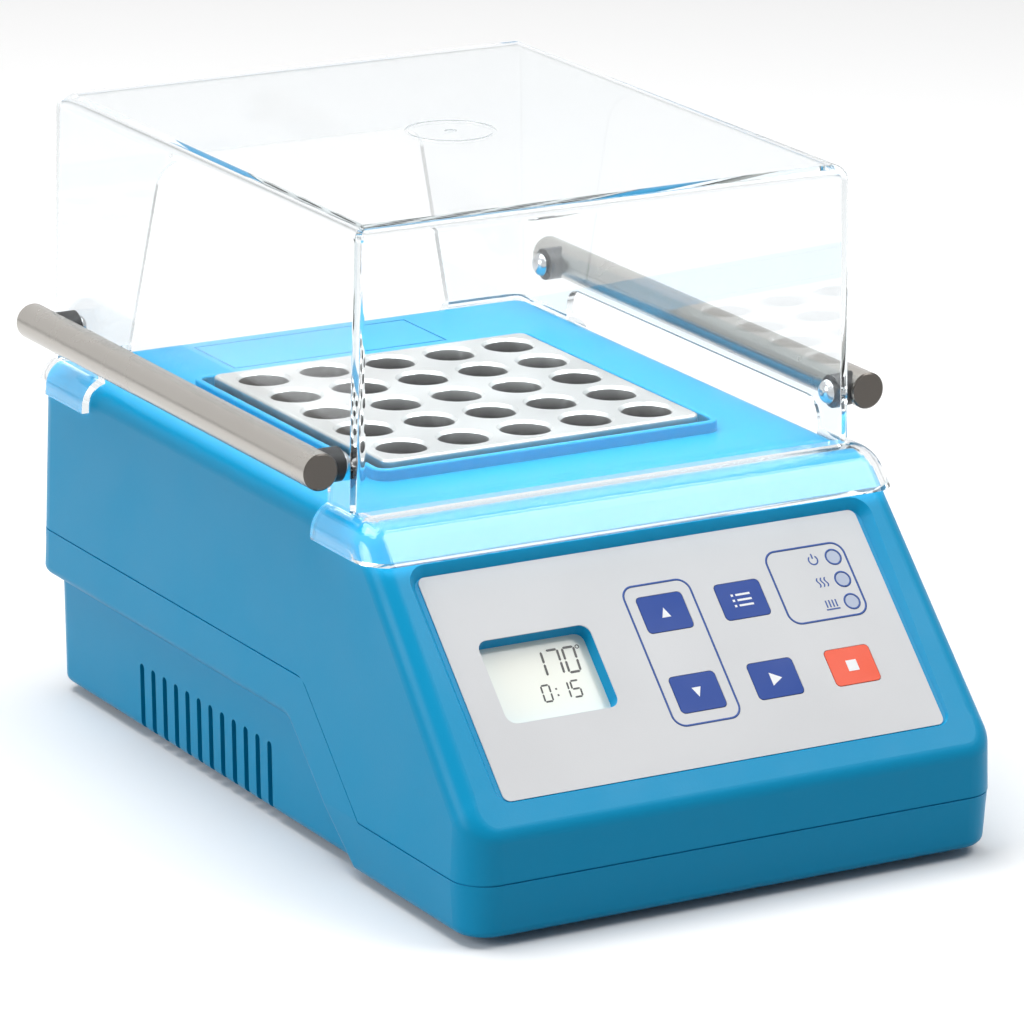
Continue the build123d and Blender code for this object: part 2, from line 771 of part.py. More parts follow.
with BuildPart() as cover_shell:
    add(lip_form(lip_gap + cover_wall))
    with BuildSketch(Plane.XY.offset(lip_bottom)):
        with Locations((0, front_y + (window_edge_front + window_edge_rear) / 2)):
            Rectangle(2 * body_width, window_edge_rear - window_edge_front)
        with Locations((0, rear_y)):
            Rectangle(rear_window_bottom_width, body_depth / 2)
    extrude(amount=2 * top_height, mode=Mode.SUBTRACT)
    add(cover_box.part)
    add(lip_form(lip_gap), mode=Mode.SUBTRACT)
    add(cover_inside.part, mode=Mode.SUBTRACT)
    # Side windows under the walls
    side_window_height = side_window_top - lip_bottom
    with BuildSketch(Plane.YZ):
        with Locations((front_y + (window_edge_front + window_edge_rear) / 2, side_window_top - side_window_height)):
            RectangleRounded(window_edge_rear - window_edge_front, 2 * side_window_height, side_window_corner)
    extrude(amount=body_width, both=True, mode=Mode.SUBTRACT)
    # Tapered opening in the rear wall
    with BuildSketch(Plane.XZ.offset(-cover_y)):
        with BuildLine():
            Polyline(
                (-rear_window_bottom_width / 2, lip_bottom),
                (-rear_window_bottom_width / 2, cover_base),
                (-rear_window_top_width / 2, rear_window_top),
                (rear_window_top_width / 2, rear_window_top),
                (rear_window_bottom_width / 2, cover_base),
                (rear_window_bottom_width / 2, lip_bottom),
                close=True,
            )
        rear_opening = make_face()
        fillet(rear_opening.vertices().group_by(Axis.Z)[-1], rear_window_corner)
    extrude(amount=-cover_length, mode=Mode.SUBTRACT)
    # Moulding mark in the roof, and the holes of the bars' screws
    with BuildSketch(Plane((0, front_y + gate_from_front, cover_top))):
        Circle(gate_radius)
        Circle(gate_radius - gate_line, mode=Mode.SUBTRACT)
        Circle(gate_dot)
    extrude(amount=-gate_depth, mode=Mode.SUBTRACT)
    with BuildSketch(Plane.YZ):
        with Locations(*[(front_y + away, bar_height) for away in standoff_from_front]):
            Circle(bar_screw_radius + hole_clearance / 3)
    extrude(amount=body_width, both=True, mode=Mode.SUBTRACT)
cover_shell.part.label = "cover_shell"
export_step(cover_shell.part, "parts/cover_shell.step")

bar_points = [(front_y + away, bar_height) for away in standoff_from_front]
wall_inside = cover_width / 2 - cover_wall - (bar_height - cover_base) * tan(radians(cover_draft))
bar_tip = bar_x - bar_radius + bar_screw_bite


def bar(side):
    """One handle bar, drilled for its two screws."""
    with BuildPart() as rod:
        with BuildSketch(Plane((side * bar_x, cover_y - bar_length / 2, bar_height), z_dir=(0, 1, 0))):
            Circle(bar_radius)
        extrude(amount=bar_length)
        chamfer(rod.edges().filter_by(GeomType.CIRCLE), bar_radius / 12)
        with BuildSketch(Plane.YZ.offset(side * (bar_tip + 0.5))):
            with Locations(*bar_points):
                Circle(bar_screw_radius)
        extrude(amount=-side * bar_radius, mode=Mode.SUBTRACT)
    return rod.part


with BuildPart() as left_bar:
    add(bar(-1))
left_bar.part.label = "left_bar"
export_step(left_bar.part, "parts/left_bar.step")

with BuildPart() as right_bar:
    add(bar(1))
right_bar.part.label = "right_bar"
export_step(right_bar.part, "parts/right_bar.step")

with BuildPart() as bar_standoffs:
    for side in (-1, 1):
        with BuildSketch(Plane.YZ.offset(side * wall_inside)):
            with Locations(*bar_points):
                Circle(standoff_radius)
                Circle(bar_screw_radius + hole_clearance / 3, mode=Mode.SUBTRACT)
        extrude(amount=side * (bar_x - wall_inside))
        with BuildSketch(Plane((side * bar_x, cover_y - bar_length / 2, bar_height), z_dir=(0, 1, 0))):
            Circle(bar_radius)
        extrude(amount=bar_length, mode=Mode.SUBTRACT)
    add(cover_block(0, top_height, cover_top), mode=Mode.SUBTRACT)
bar_standoffs.part.label = "bar_standoffs"
export_step(bar_standoffs.part, "parts/bar_standoffs.step")

with BuildPart() as bar_screws:
    for side in (-1, 1):
        with BuildSketch(Plane.YZ.offset(side * (wall_inside - hole_clearance))):
            with Locations(*bar_points):
                Circle(bar_screw_radius)
        extrude(amount=side * (bar_tip - wall_inside + hole_clearance))
        for y, z in bar_points:
            inner = side * (wall_inside - hole_clearance)
            with BuildSketch(Plane((inner, y, z), x_dir=(0, 1, 0), z_dir=(0, 0, -1))):
                with BuildLine():
                    rim = side * (hole_clearance - wall_fit)
                    Polyline((bar_screw_head, rim), (0, rim), (0, 0))
                    Line((0, 0), (0, -side * bar_screw_dome))
                    ThreePointArc(
                        (0, -side * bar_screw_dome),
                        (bar_screw_head * sin(radians(50)), -side * bar_screw_dome * cos(radians(50))),
                        (bar_screw_head, 0),
                    )
                    Line((bar_screw_head, 0), (bar_screw_head, rim))
                make_face()
            revolve(axis=Axis((inner, y, z), (1, 0, 0)))
bar_screws.part.label = "bar_screws"
export_step(bar_screws.part, "parts/bar_screws.step")

# Control panel: film, keys, lamps and display on the board behind the slope
glass_width = 46.0
glass_height = 36.0
glass_thickness = 2.0
frame_border = 1.5
frame_lip = 0.5
frame_clearance = 0.1
key_flange = 1.6
key_flange_thickness = 1.0
key_gap = 0.3
key_stem_radius = 2.5
key_stop_gap = 0.3
switch_size = 6.0
switch_height = 3.5
switch_plunger_radius = 1.7
switch_plunger = 0.8
lamp_flange_radius = 3.0
lamp_flange = 1.5
board_back = board_depth - board_thickness
key_points = [(x, -key_row) for x in key_columns] + [(x, key_row) for x in key_columns[:2]]

with BuildPart() as panel_film:
    with BuildSketch(panel.offset(-film_thickness)):
        RectangleRounded(film_width, film_height, film_corner)
        with Locations((window_x, window_y)):
            RectangleRounded(window_width, window_height, window_corner, mode=Mode.SUBTRACT)
        with Locations(*key_points):
            RectangleRounded(
                key_width + 2 * key_clearance,
                key_height + 2 * key_clearance,
                key_corner + key_clearance,
                mode=Mode.SUBTRACT,
            )
        with Locations((lamp_column, lamp_middle)):
            with GridLocations(0, lamp_pitch, 1, 3):
                Circle(lamp_radius + lamp_clearance, mode=Mode.SUBTRACT)
    extrude(amount=film_thickness)
panel_film.part.label = "panel_film"
export_step(panel_film.part, "parts/panel_film.step")


def key(middle):
    """One key: a flush cap, a flange that stops behind the panel, and a stem over its switch."""
    flange_top = panel_back - key_gap
    stem_end = board_depth + switch_height + switch_plunger + key_travel + key_stop_gap
    with BuildPart() as cap:
        with BuildSketch(panel.offset(key_proud)):
            with Locations(middle):
                RectangleRounded(key_width, key_height, key_corner)
        extrude(amount=flange_top - key_proud)
        with BuildSketch(panel.offset(flange_top)):
            with Locations(middle):
                RectangleRounded(key_width + 2 * key_flange, key_height + 2 * key_flange, key_corner)
        extrude(amount=-key_flange_thickness)
        with BuildSketch(panel.offset(flange_top - key_flange_thickness)):
            with Locations(middle):
                Circle(key_stem_radius)
        extrude(amount=stem_end - flange_top + key_flange_thickness)
        top = cap.faces().sort_by(Axis(panel.origin, panel.z_dir))[-1]
        fillet(top.edges(), key_proud / 2)
    return cap.part


for name, middle in zip(("down_key", "start_key", "stop_key", "up_key", "program_key"), key_points):
    with BuildPart() as one_key:
        add(key(middle))
    one_key.part.label = name
    export_step(one_key.part, "parts/" + name + ".step")

with BuildPart() as key_switches:
    with BuildSketch(panel.offset(board_depth)):
        with Locations(*key_points):
            Rectangle(switch_size, switch_size)
    extrude(amount=switch_height)
    with BuildSketch(panel.offset(board_depth + switch_height)):
        with Locations(*key_points):
            Circle(switch_plunger_radius)
    extrude(amount=switch_plunger)
key_switches.part.label = "key_switches"
export_step(key_switches.part, "parts/key_switches.step")

with BuildPart() as status_lamps:
    with BuildSketch(panel.offset(board_depth)):
        with Locations((lamp_column, lamp_middle)):
            with GridLocations(0, lamp_pitch, 1, 3):
                Circle(lamp_radius)
    extrude(amount=-board_depth)
    with BuildSketch(panel.offset(board_depth)):
        with Locations((lamp_column, lamp_middle)):
            with GridLocations(0, lamp_pitch, 1, 3):
                Circle(lamp_flange_radius)
    extrude(amount=lamp_flange)
status_lamps.part.label = "status_lamps"
export_step(status_lamps.part, "parts/status_lamps.step")

with BuildPart() as control_board:
    with BuildSketch(panel.offset(board_depth)):
        Rectangle(control_board_width, control_board_height)
        with GridLocations(2 * board_screw_x, 2 * board_screw_y, 2, 2):
            Circle(board_screw_radius + hole_clearance, mode=Mode.SUBTRACT)
    extrude(amount=-board_thickness)
control_board.part.label = "control_board"
export_step(control_board.part, "parts/control_board.step")

with BuildPart() as control_board_screws:
    with BuildSketch(panel.offset(board_back)):
        with GridLocations(2 * board_screw_x, 2 * board_screw_y, 2, 2):
            Circle(2 * board_screw_radius)
    extrude(amount=-board_screw_radius)
    with BuildSketch(panel.offset(board_back)):
        with GridLocations(2 * board_screw_x, 2 * board_screw_y, 2, 2):
            Circle(board_screw_radius)
    extrude(amount=board_thickness + board_screw_bite - 1)
control_board_screws.part.label = "control_board_screws"
export_step(control_board_screws.part, "parts/control_board_screws.step")

glass_top = -window_depth
with BuildPart() as display_glass:
    with BuildSketch(panel.offset(glass_top)):
        with Locations((window_x, window_y)):
            Rectangle(glass_width, glass_height)
    extrude(amount=-glass_thickness)
display_glass.part.label = "display_glass"
export_step(display_glass.part, "parts/display_glass.step")

with BuildPart() as display_frame:
    with BuildSketch(panel.offset(board_depth)):
        with Locations((window_x, window_y)):
            Rectangle(glass_width + 2 * frame_border, glass_height + 2 * frame_border)
    extrude(amount=glass_top + frame_lip - board_depth)
    with BuildSketch(panel.offset(glass_top - glass_thickness)):
        with Locations((window_x, window_y)):
            Rectangle(glass_width + 2 * frame_clearance, glass_height + 2 * frame_clearance)
    extrude(amount=glass_thickness, mode=Mode.SUBTRACT)
    with BuildSketch(panel.offset(glass_top)):
        with Locations((window_x, window_y)):
            RectangleRounded(
                window_width + 2 * window_collar_wall + 2 * frame_clearance,
                window_height + 2 * window_collar_wall + 2 * frame_clearance,
                window_corner + window_collar_wall,
            )
    extrude(amount=frame_lip, mode=Mode.SUBTRACT)
display_frame.part.label = "display_frame"
export_step(display_frame.part, "parts/display_frame.step")

# Power board on the floor behind the nose
transformer_width = 42.0
transformer_length = 34.0
transformer_height = 34.0
transformer_x = -38.0
transformer_from_front = 70.0
coil_length = 22.0
relay_size = (28.0, 12.5, 15.5)
relay_x = 12.0
relay_from_front = 66.0
capacitor_size = (26.0, 9.0, 16.0)
capacitor_x = 0.0
capacitor_from_front = 84.0
strip_ways = 5
strip_pitch = 8.0
strip_depth = 9.0
strip_height = 12.0
strip_x = 38.0
strip_from_front = 82.0
heatsink_width = 30.0
heatsink_depth = 12.0
heatsink_height = 18.0
heatsink_fin = 1.5
heatsink_fins = 6
heatsink_x = 46.0
heatsink_from_front = 60.0
triac_width = 10.0
triac_height = 15.0
triac_thickness = 4.5
board_top = power_board_height + power_board_thickness

with BuildPart() as power_board:
    with BuildSketch(Plane((0, power_board_y, power_board_height))):
        Rectangle(power_board_width, power_board_length)
        with GridLocations(2 * power_board_screw_x, 2 * power_board_screw_y, 2, 2):
            Circle(pilot_radius + hole_clearance, mode=Mode.SUBTRACT)
    extrude(amount=power_board_thickness)
power_board.part.label = "power_board"
export_step(power_board.part, "parts/power_board.step")

with BuildPart() as power_board_screws:
    with BuildSketch(Plane((0, power_board_y, board_top))):
        with GridLocations(2 * power_board_screw_x, 2 * power_board_screw_y, 2, 2):
            Circle(2 * pilot_radius)
    extrude(amount=pilot_radius)
    with BuildSketch(Plane((0, power_board_y, board_top))):
        with GridLocations(2 * power_board_screw_x, 2 * power_board_screw_y, 2, 2):
            Circle(pilot_radius)
    extrude(amount=1 - pilot_depth)
power_board_screws.part.label = "power_board_screws"
export_step(power_board_screws.part, "parts/power_board_screws.step")

with BuildPart() as transformer:
    core_plane = Plane((transformer_x, front_y + transformer_from_front, board_top))
    with BuildSketch(core_plane):
        Rectangle(transformer_width, transformer_length / 2)
    extrude(amount=transformer_height)
    with BuildSketch(core_plane):
        RectangleRounded(transformer_width - coil_length / 2, transformer_length, 3)
    extrude(amount=transformer_height * 0.8)
transformer.part.label = "transformer"
export_step(transformer.part, "parts/transformer.step")

for name, x, away, size in (
    ("relay", relay_x, relay_from_front, relay_size),
    ("filter_capacitor", capacitor_x, capacitor_from_front, capacitor_size),
):
    with BuildPart() as case:
        with BuildSketch(Plane((x, front_y + away, board_top))):
            RectangleRounded(size[0], size[1], 1)
        extrude(amount=size[2])
        fillet(case.faces().sort_by(Axis.Z)[-1].edges(), 0.8)
    case.part.label = name
    export_step(case.part, "parts/" + name + ".step")

with BuildPart() as terminal_strip:
    strip_plane = Plane((strip_x, front_y + strip_from_front, board_top))
    with BuildSketch(strip_plane):
        Rectangle(strip_ways * strip_pitch, strip_depth)
    extrude(amount=strip_height)
    with BuildSketch(strip_plane.offset(strip_height)):
        with GridLocations(strip_pitch, 0, strip_ways, 1):
            Circle(strip_pitch / 4)
    extrude(amount=-strip_height / 3, mode=Mode.SUBTRACT)
terminal_strip.part.label = "terminal_strip"
export_step(terminal_strip.part, "parts/terminal_strip.step")

with BuildPart() as triac_heatsink:
    sink_plane = Plane((heatsink_x, front_y + heatsink_from_front, board_top))
    with BuildSketch(sink_plane):
        Rectangle(heatsink_width, heatsink_depth, align=(Align.CENTER, Align.MIN))
        fin_gap = (heatsink_width - heatsink_fins * heatsink_fin) / (heatsink_fins - 1)
        with Locations((0, 2 * heatsink_fin)):
            with GridLocations(fin_gap + heatsink_fin, 0, heatsink_fins - 1, 1):
                Rectangle(fin_gap, heatsink_depth, align=(Align.CENTER, Align.MIN), mode=Mode.SUBTRACT)
    extrude(amount=heatsink_height)
triac_heatsink.part.label = "triac_heatsink"
export_step(triac_heatsink.part, "parts/triac_heatsink.step")

with BuildPart() as triac:
    with BuildSketch(sink_plane.offset(heatsink_height - triac_height)):
        Rectangle(triac_width, triac_thickness, align=(Align.CENTER, Align.MAX))
    extrude(amount=triac_height * 0.6)
    with BuildSketch(sink_plane.offset(heatsink_height - triac_height)):
        Rectangle(triac_width, triac_thickness / 4, align=(Align.CENTER, Align.MAX))
    extrude(amount=triac_height)
    with BuildSketch(sink_plane):
        with GridLocations(triac_width / 4, 0, 3, 1):
            with Locations((0, -triac_thickness / 2)):
                Rectangle(triac_width / 12, triac_width / 12)
    extrude(amount=heatsink_height - triac_height)
triac.part.label = "triac"
export_step(triac.part, "parts/triac.step")

ribbon_width = 20.0
ribbon_thickness = 1.0
plug_width = 24.0
plug_thickness = 6.0
plug_height = 5.0
ribbon_x = 50.0
ribbon_board_y = -18.0
ribbon_from_front = 40.0
ribbon_drop = 14.0
ribbon_bend = 4.0

with BuildPart() as ribbon_cable:
    start = panel.from_local_coords(Vector(0, ribbon_board_y, board_back - plug_height))
    corner = panel.from_local_coords(Vector(0, ribbon_board_y, board_back - plug_height - ribbon_drop))
    end_y = front_y + ribbon_from_front
    with BuildSketch(Plane.YZ.offset(ribbon_x)):
        with BuildLine() as route:
            Polyline(
                (start.Y, start.Z),
                (corner.Y, corner.Z),
                (end_y, board_top + plug_height + ribbon_bend),
                (end_y, board_top + plug_height),
            )
        trace(line_width=ribbon_thickness)
    extrude(amount=ribbon_width / 2, both=True)
    with BuildSketch(panel.offset(board_back)):
        with Locations((ribbon_x, ribbon_board_y)):
            Rectangle(plug_width, plug_thickness)
    extrude(amount=-plug_height)
    with BuildSketch(Plane((ribbon_x, end_y, board_top))):
        Rectangle(plug_width, plug_thickness)
    extrude(amount=plug_height)
ribbon_cable.part.label = "ribbon_cable"
export_step(ribbon_cable.part, "parts/ribbon_cable.step")

# Mains inlet with its fuse drawer, and the rocker switch, in the rear wall
socket_width = 24.2
socket_height = 15.6
socket_corner = 4.0
socket_depth = 16.5
socket_lift = 5.2
blade_width = 2.0
blade_height = 4.0
blade_out = 12.5
blade_in = 6.5
blade_pitch = 7.0
blade_drop = 4.0
drawer_width = 22.0
drawer_height = 6.6
drawer_depth = 17.0
drawer_drop = -9.2
drawer_gap = 0.3
drawer_front_width = 25.0
drawer_front_height = 7.6
drawer_front = 1.6
drawer_travel = 14.0
drawer_wall = 0.5
fuse_length = 20.0
fuse_radius = 2.6
fuse_cap = 5.0
fuse_waist = 0.2
rocker_flange = 1.5
rocker_flange_thickness = 2.0
rocker_body_depth = 13.0
rocker_width = 10.6
rocker_radius = 7.6
rocker_gap = 0.35
rocker_pivot = -1.0
rocker_pin_radius = 1.2
rocker_pin_length = 0.9
rocker_pin_clearance = 0.1
rocker_rise = 2.6
rocker_angle = 12.0
rocker_depth = 5.0

inlet_plane = Plane(rear_wall.from_local_coords(Vector(inlet_x, inlet_y, 0)), rear_wall.x_dir, rear_wall.z_dir)
inlet_front = inlet_plane.offset(inlet_flange_thickness)
with BuildPart() as inlet_body:
    with BuildSketch(inlet_plane):
        RectangleRounded(inlet_flange_width, inlet_flange_height, inlet_flange_corner)
    extrude(amount=inlet_flange_thickness)
    with BuildSketch(inlet_plane):
        Rectangle(inlet_body_width, inlet_body_height)
    extrude(amount=-inlet_body_depth)
    with BuildSketch(inlet_front) as socket:
        with Locations((0, socket_lift)):
            Rectangle(socket_width, socket_height)
        chamfer(socket.vertices().group_by(Axis.Y)[-1], socket_corner)
    extrude(amount=-socket_depth, mode=Mode.SUBTRACT)
    with BuildSketch(inlet_front):
        with Locations((0, drawer_drop)):
            Rectangle(drawer_width + 2 * drawer_gap, drawer_height + 2 * drawer_gap)
    extrude(amount=-drawer_depth - drawer_gap, mode=Mode.SUBTRACT)
    with BuildSketch(inlet_front):
        with GridLocations(inlet_screw_pitch, 0, 2, 1):
            Circle(inlet_screw_radius + wall_fit)
    extrude(amount=-inlet_flange_thickness, mode=Mode.SUBTRACT)
    with BuildSketch(inlet_front.offset(-inlet_body_depth)):
        with Locations((0, socket_lift + blade_drop / 2)):
            Rectangle(blade_width, blade_height)
        with Locations((0, socket_lift - blade_drop / 2)):
            with GridLocations(2 * blade_pitch, 0, 2, 1):
                Rectangle(blade_width, blade_height)
    extrude(amount=inlet_body_depth, mode=Mode.SUBTRACT)
    with BuildSketch(inlet_front.offset(-inlet_body_depth)):
        with Locations((0, socket_lift + blade_drop / 2)):
            Rectangle(blade_width, blade_height)
        with Locations((0, socket_lift - blade_drop / 2)):
            with GridLocations(2 * blade_pitch, 0, 2, 1):
                Rectangle(blade_width, blade_height)
    extrude(amount=-inlet_flange_thickness, mode=Mode.SUBTRACT)
inlet_body.part.label = "inlet_body"
export_step(inlet_body.part, "parts/inlet_body.step")

with BuildPart() as inlet_contacts:
    with BuildSketch(inlet_front.offset(-inlet_body_depth - inlet_flange_thickness - blade_in)):
        with Locations((0, socket_lift + blade_drop / 2)):
            Rectangle(blade_width, blade_height)
        with Locations((0, socket_lift - blade_drop / 2)):
            with GridLocations(2 * blade_pitch, 0, 2, 1):
                Rectangle(blade_width, blade_height)
    extrude(amount=blade_in + inlet_body_depth + inlet_flange_thickness - socket_depth + blade_out)
inlet_contacts.part.label = "inlet_contacts"
export_step(inlet_contacts.part, "parts/inlet_contacts.step")

with BuildPart() as inlet_screws:
    with BuildSketch(inlet_front):
        with GridLocations(inlet_screw_pitch, 0, 2, 1):
            Circle(inlet_screw_head)
    extrude(amount=inlet_screw_radius)
    fillet(inlet_screws.edges().sort_by(Axis(inlet_front.origin, inlet_front.z_dir))[-2:], inlet_screw_radius / 2)
    with BuildSketch(inlet_front):
        with GridLocations(inlet_screw_pitch, 0, 2, 1):
            Circle(inlet_screw_radius)
    extrude(amount=-inlet_screw_length)
inlet_screws.part.label = "inlet_screws"
export_step(inlet_screws.part, "parts/inlet_screws.step")

drawer_plane = Plane(inlet_front.from_local_coords(Vector(0, drawer_drop, 0)), inlet_front.x_dir, inlet_front.z_dir)
fuse_plane = drawer_plane.offset(-drawer_depth / 2)
with BuildPart() as fuse_drawer:
    with BuildSketch(drawer_plane):
        Rectangle(drawer_width, drawer_height)
    extrude(amount=-drawer_depth)
    with BuildSketch(drawer_plane.offset(drawer_gap)):
        RectangleRounded(drawer_front_width, drawer_front_height, 0.8)
    extrude(amount=drawer_front)
    with BuildSketch(drawer_plane):
        Rectangle(drawer_width, drawer_height)
    extrude(amount=drawer_gap)
    pocket_height = 2 * fuse_radius + drawer_gap
    with BuildSketch(drawer_plane.offset(-drawer_depth / 2 - pocket_height / 2)):
        with Locations((0, drawer_wall)):
            Rectangle(fuse_length + drawer_gap, drawer_height)
    extrude(amount=pocket_height, mode=Mode.SUBTRACT)
fuse_drawer.part.label = "fuse_drawer"
export_step(fuse_drawer.part, "parts/fuse_drawer.step")

with BuildPart() as fuse:
    fuse_middle = fuse_plane.from_local_coords(Vector(0, drawer_wall / 2 + 0.05, 0))
    with BuildSketch(Plane(fuse_middle, z_dir=(1, 0, 0)).offset(-fuse_length / 2)):
        Circle(fuse_radius - fuse_waist)
    extrude(amount=fuse_length)
    for side in (-1, 1):
        with BuildSketch(Plane(fuse_middle, z_dir=(1, 0, 0)).offset(side * fuse_length / 2)):
            Circle(fuse_radius)
        extrude(amount=-side * fuse_cap)
fuse.part.label = "fuse"
export_step(fuse.part, "parts/fuse.step")

rocker_plane = Plane(rear_wall.from_local_coords(Vector(rocker_x, rocker_y, 0)), rear_wall.x_dir, rear_wall.z_dir)
rocker_axis_plane = Plane(
    rocker_plane.from_local_coords(Vector(0, 0, rocker_flange_thickness + rocker_pivot)),
    x_dir=rocker_plane.y_dir,
    z_dir=rocker_plane.x_dir,
)
with BuildPart() as rocker_frame:
    with BuildSketch(rocker_plane):
        RectangleRounded(rocker_body_width + 2 * rocker_flange, rocker_body_height + 2 * rocker_flange, 1)
    extrude(amount=rocker_flange_thickness)
    fillet(rocker_frame.faces().sort_by(Axis(rocker_plane.origin, rocker_plane.z_dir))[-1].edges(), 0.6)
    with BuildSketch(rocker_plane):
        Rectangle(rocker_body_width, rocker_body_height)
    extrude(amount=-rocker_body_depth)
    with BuildSketch(rocker_plane.offset(rocker_flange_thickness)):
        Rectangle(rocker_width + 2 * rocker_gap, 2 * (rocker_radius + rocker_gap))
    extrude(amount=-rocker_radius - rocker_depth, mode=Mode.SUBTRACT)
    with BuildSketch(rocker_axis_plane):
        Circle(rocker_pin_radius + rocker_pin_clearance)
    extrude(amount=rocker_width / 2 + rocker_pin_length + rocker_pin_clearance, both=True, mode=Mode.SUBTRACT)
rocker_frame.part.label = "rocker_frame"
export_step(rocker_frame.part, "parts/rocker_frame.step")

with BuildPart() as rocker:
    with BuildSketch(rocker_axis_plane):
        Circle(rocker_radius)
        with BuildLine(mode=Mode.PRIVATE) as vee:
            edge_rise = rocker_rise + rocker_radius * tan(radians(rocker_angle))
            Polyline(
                (-rocker_radius, rocker_depth),
                (-rocker_radius, -edge_rise),
                (0, -rocker_rise),
                (rocker_radius, -edge_rise),
                (rocker_radius, rocker_depth),
                close=True,
            )
        add(make_face(vee.edges(), mode=Mode.PRIVATE), mode=Mode.INTERSECT)
    extrude(amount=rocker_width / 2, both=True)
    with BuildSketch(rocker_axis_plane):
        Circle(rocker_pin_radius)
    extrude(amount=rocker_width / 2 + rocker_pin_length, both=True)
rocker_at_rest = rocker.part.rotate(Axis(rocker_axis_plane.origin, rocker_axis_plane.z_dir), rocker_angle)
rocker_at_rest.label = "rocker"
export_step(rocker_at_rest, "parts/rocker.step")
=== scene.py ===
from math import cos, pi, radians, sin

import bmesh
import bpy
from mathutils import Matrix, Vector


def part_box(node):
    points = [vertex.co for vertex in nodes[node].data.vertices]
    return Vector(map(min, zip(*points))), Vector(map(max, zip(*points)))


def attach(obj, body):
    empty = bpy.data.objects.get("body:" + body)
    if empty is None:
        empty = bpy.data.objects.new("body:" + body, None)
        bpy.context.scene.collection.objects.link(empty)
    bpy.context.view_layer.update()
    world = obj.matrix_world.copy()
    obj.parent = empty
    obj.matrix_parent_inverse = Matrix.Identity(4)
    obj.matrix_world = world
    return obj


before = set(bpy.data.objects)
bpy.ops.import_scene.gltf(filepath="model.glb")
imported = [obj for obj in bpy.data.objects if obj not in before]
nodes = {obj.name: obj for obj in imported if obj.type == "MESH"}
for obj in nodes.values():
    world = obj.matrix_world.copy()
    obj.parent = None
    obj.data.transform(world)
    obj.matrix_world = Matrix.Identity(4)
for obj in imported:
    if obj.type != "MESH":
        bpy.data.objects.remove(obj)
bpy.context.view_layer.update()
scene = bpy.context.scene
scene.view_settings.view_transform = "Standard"

# The bench: a pale floor that keeps the heater's shadow. Rays that are seen directly, in gloss or
# through the clear cover meet it almost white, and it throws less light back on the housing.


def srgb(red, green, blue, alpha=1.0):
    """A colour given as 0 to 255 display values, as Blender's linear values."""
    parts = [c / 255 for c in (red, green, blue)]
    return [c / 12.92 if c < 0.04045 else ((c + 0.055) / 1.055) ** 2.4 for c in parts] + [alpha]


def seen_rays(tree):
    """A value that is 1 for rays from the camera, in gloss or through glass, and 0 for the rest."""
    path = tree.nodes.new("ShaderNodeLightPath")
    total = path.outputs["Is Camera Ray"]
    for name in ("Is Glossy Ray", "Is Transmission Ray"):
        more = tree.nodes.new("ShaderNodeMath")
        more.operation = "MAXIMUM"
        tree.links.new(total, more.inputs[0])
        tree.links.new(path.outputs[name], more.inputs[1])
        total = more.outputs[0]
    return total


floor_half = 6.0
floor_seen = srgb(252, 252, 252)
floor_thrown = srgb(178, 178, 178)
floor_roughness = 0.7
floor_sheen = 0.1
floor_mesh = bpy.data.meshes.new("floor")
corners = [(-floor_half, -floor_half, 0), (floor_half, -floor_half, 0), (floor_half, floor_half, 0),
           (-floor_half, floor_half, 0)]
floor_mesh.from_pydata(corners, [], [(0, 1, 2, 3)])
floor = bpy.data.objects.new("floor", floor_mesh)
scene.collection.objects.link(floor)
floor_paint = bpy.data.materials.new("floor")
floor_paint.use_nodes = True
shader = floor_paint.node_tree.nodes["Principled BSDF"]
shader.inputs["Roughness"].default_value = floor_roughness
shader.inputs["Specular IOR Level"].default_value = floor_sheen
shades = floor_paint.node_tree.nodes.new("ShaderNodeMix")
shades.data_type = "RGBA"
shades.inputs[6].default_value = floor_thrown
shades.inputs[7].default_value = floor_seen
floor_paint.node_tree.links.new(seen_rays(floor_paint.node_tree), shades.inputs[0])
floor_paint.node_tree.links.new(shades.outputs[2], shader.inputs["Base Color"])
floor_mesh.materials.append(floor_paint)

# Studio light: a white room and soft boxes overhead, on the left and over the panel. The camera
# stands to the left of the front, at the height and distance that the photograph was taken from.

world_strength = 0.24
world = bpy.data.worlds.new("studio")
scene.world = world
world.use_nodes = True
tree = world.node_tree
background = tree.nodes["Background"]
background.inputs["Color"].default_value = srgb(255, 255, 255)
level = tree.nodes.new("ShaderNodeMapRange")
level.inputs["To Min"].default_value = world_strength
level.inputs["To Max"].default_value = 1.0
tree.links.new(seen_rays(tree), level.inputs["Value"])
tree.links.new(level.outputs[0], background.inputs["Strength"])


def soft_box(name, place, aim, size, power):
    """A square area lamp that points at a place."""
    lamp = bpy.data.lights.new(name, "AREA")
    lamp.shape = "SQUARE"
    lamp.size = size
    lamp.energy = power
    holder = bpy.data.objects.new(name, lamp)
    holder.location = place
    holder.rotation_euler = (Vector(aim) - Vector(place)).to_track_quat("-Z", "Y").to_euler()
    scene.collection.objects.link(holder)


soft_box("top_box", (-0.25, 0.45, 1.9), (0, 0, 0), size=1.3, power=29.0)
soft_box("left_box", (-2.2, 0.0, 1.1), (0, 0, 0.08), size=1.2, power=21.0)
soft_box("panel_box", (1.05, -0.62, 1.85), (0, -0.1, 0.08), size=1.1, power=18.0)

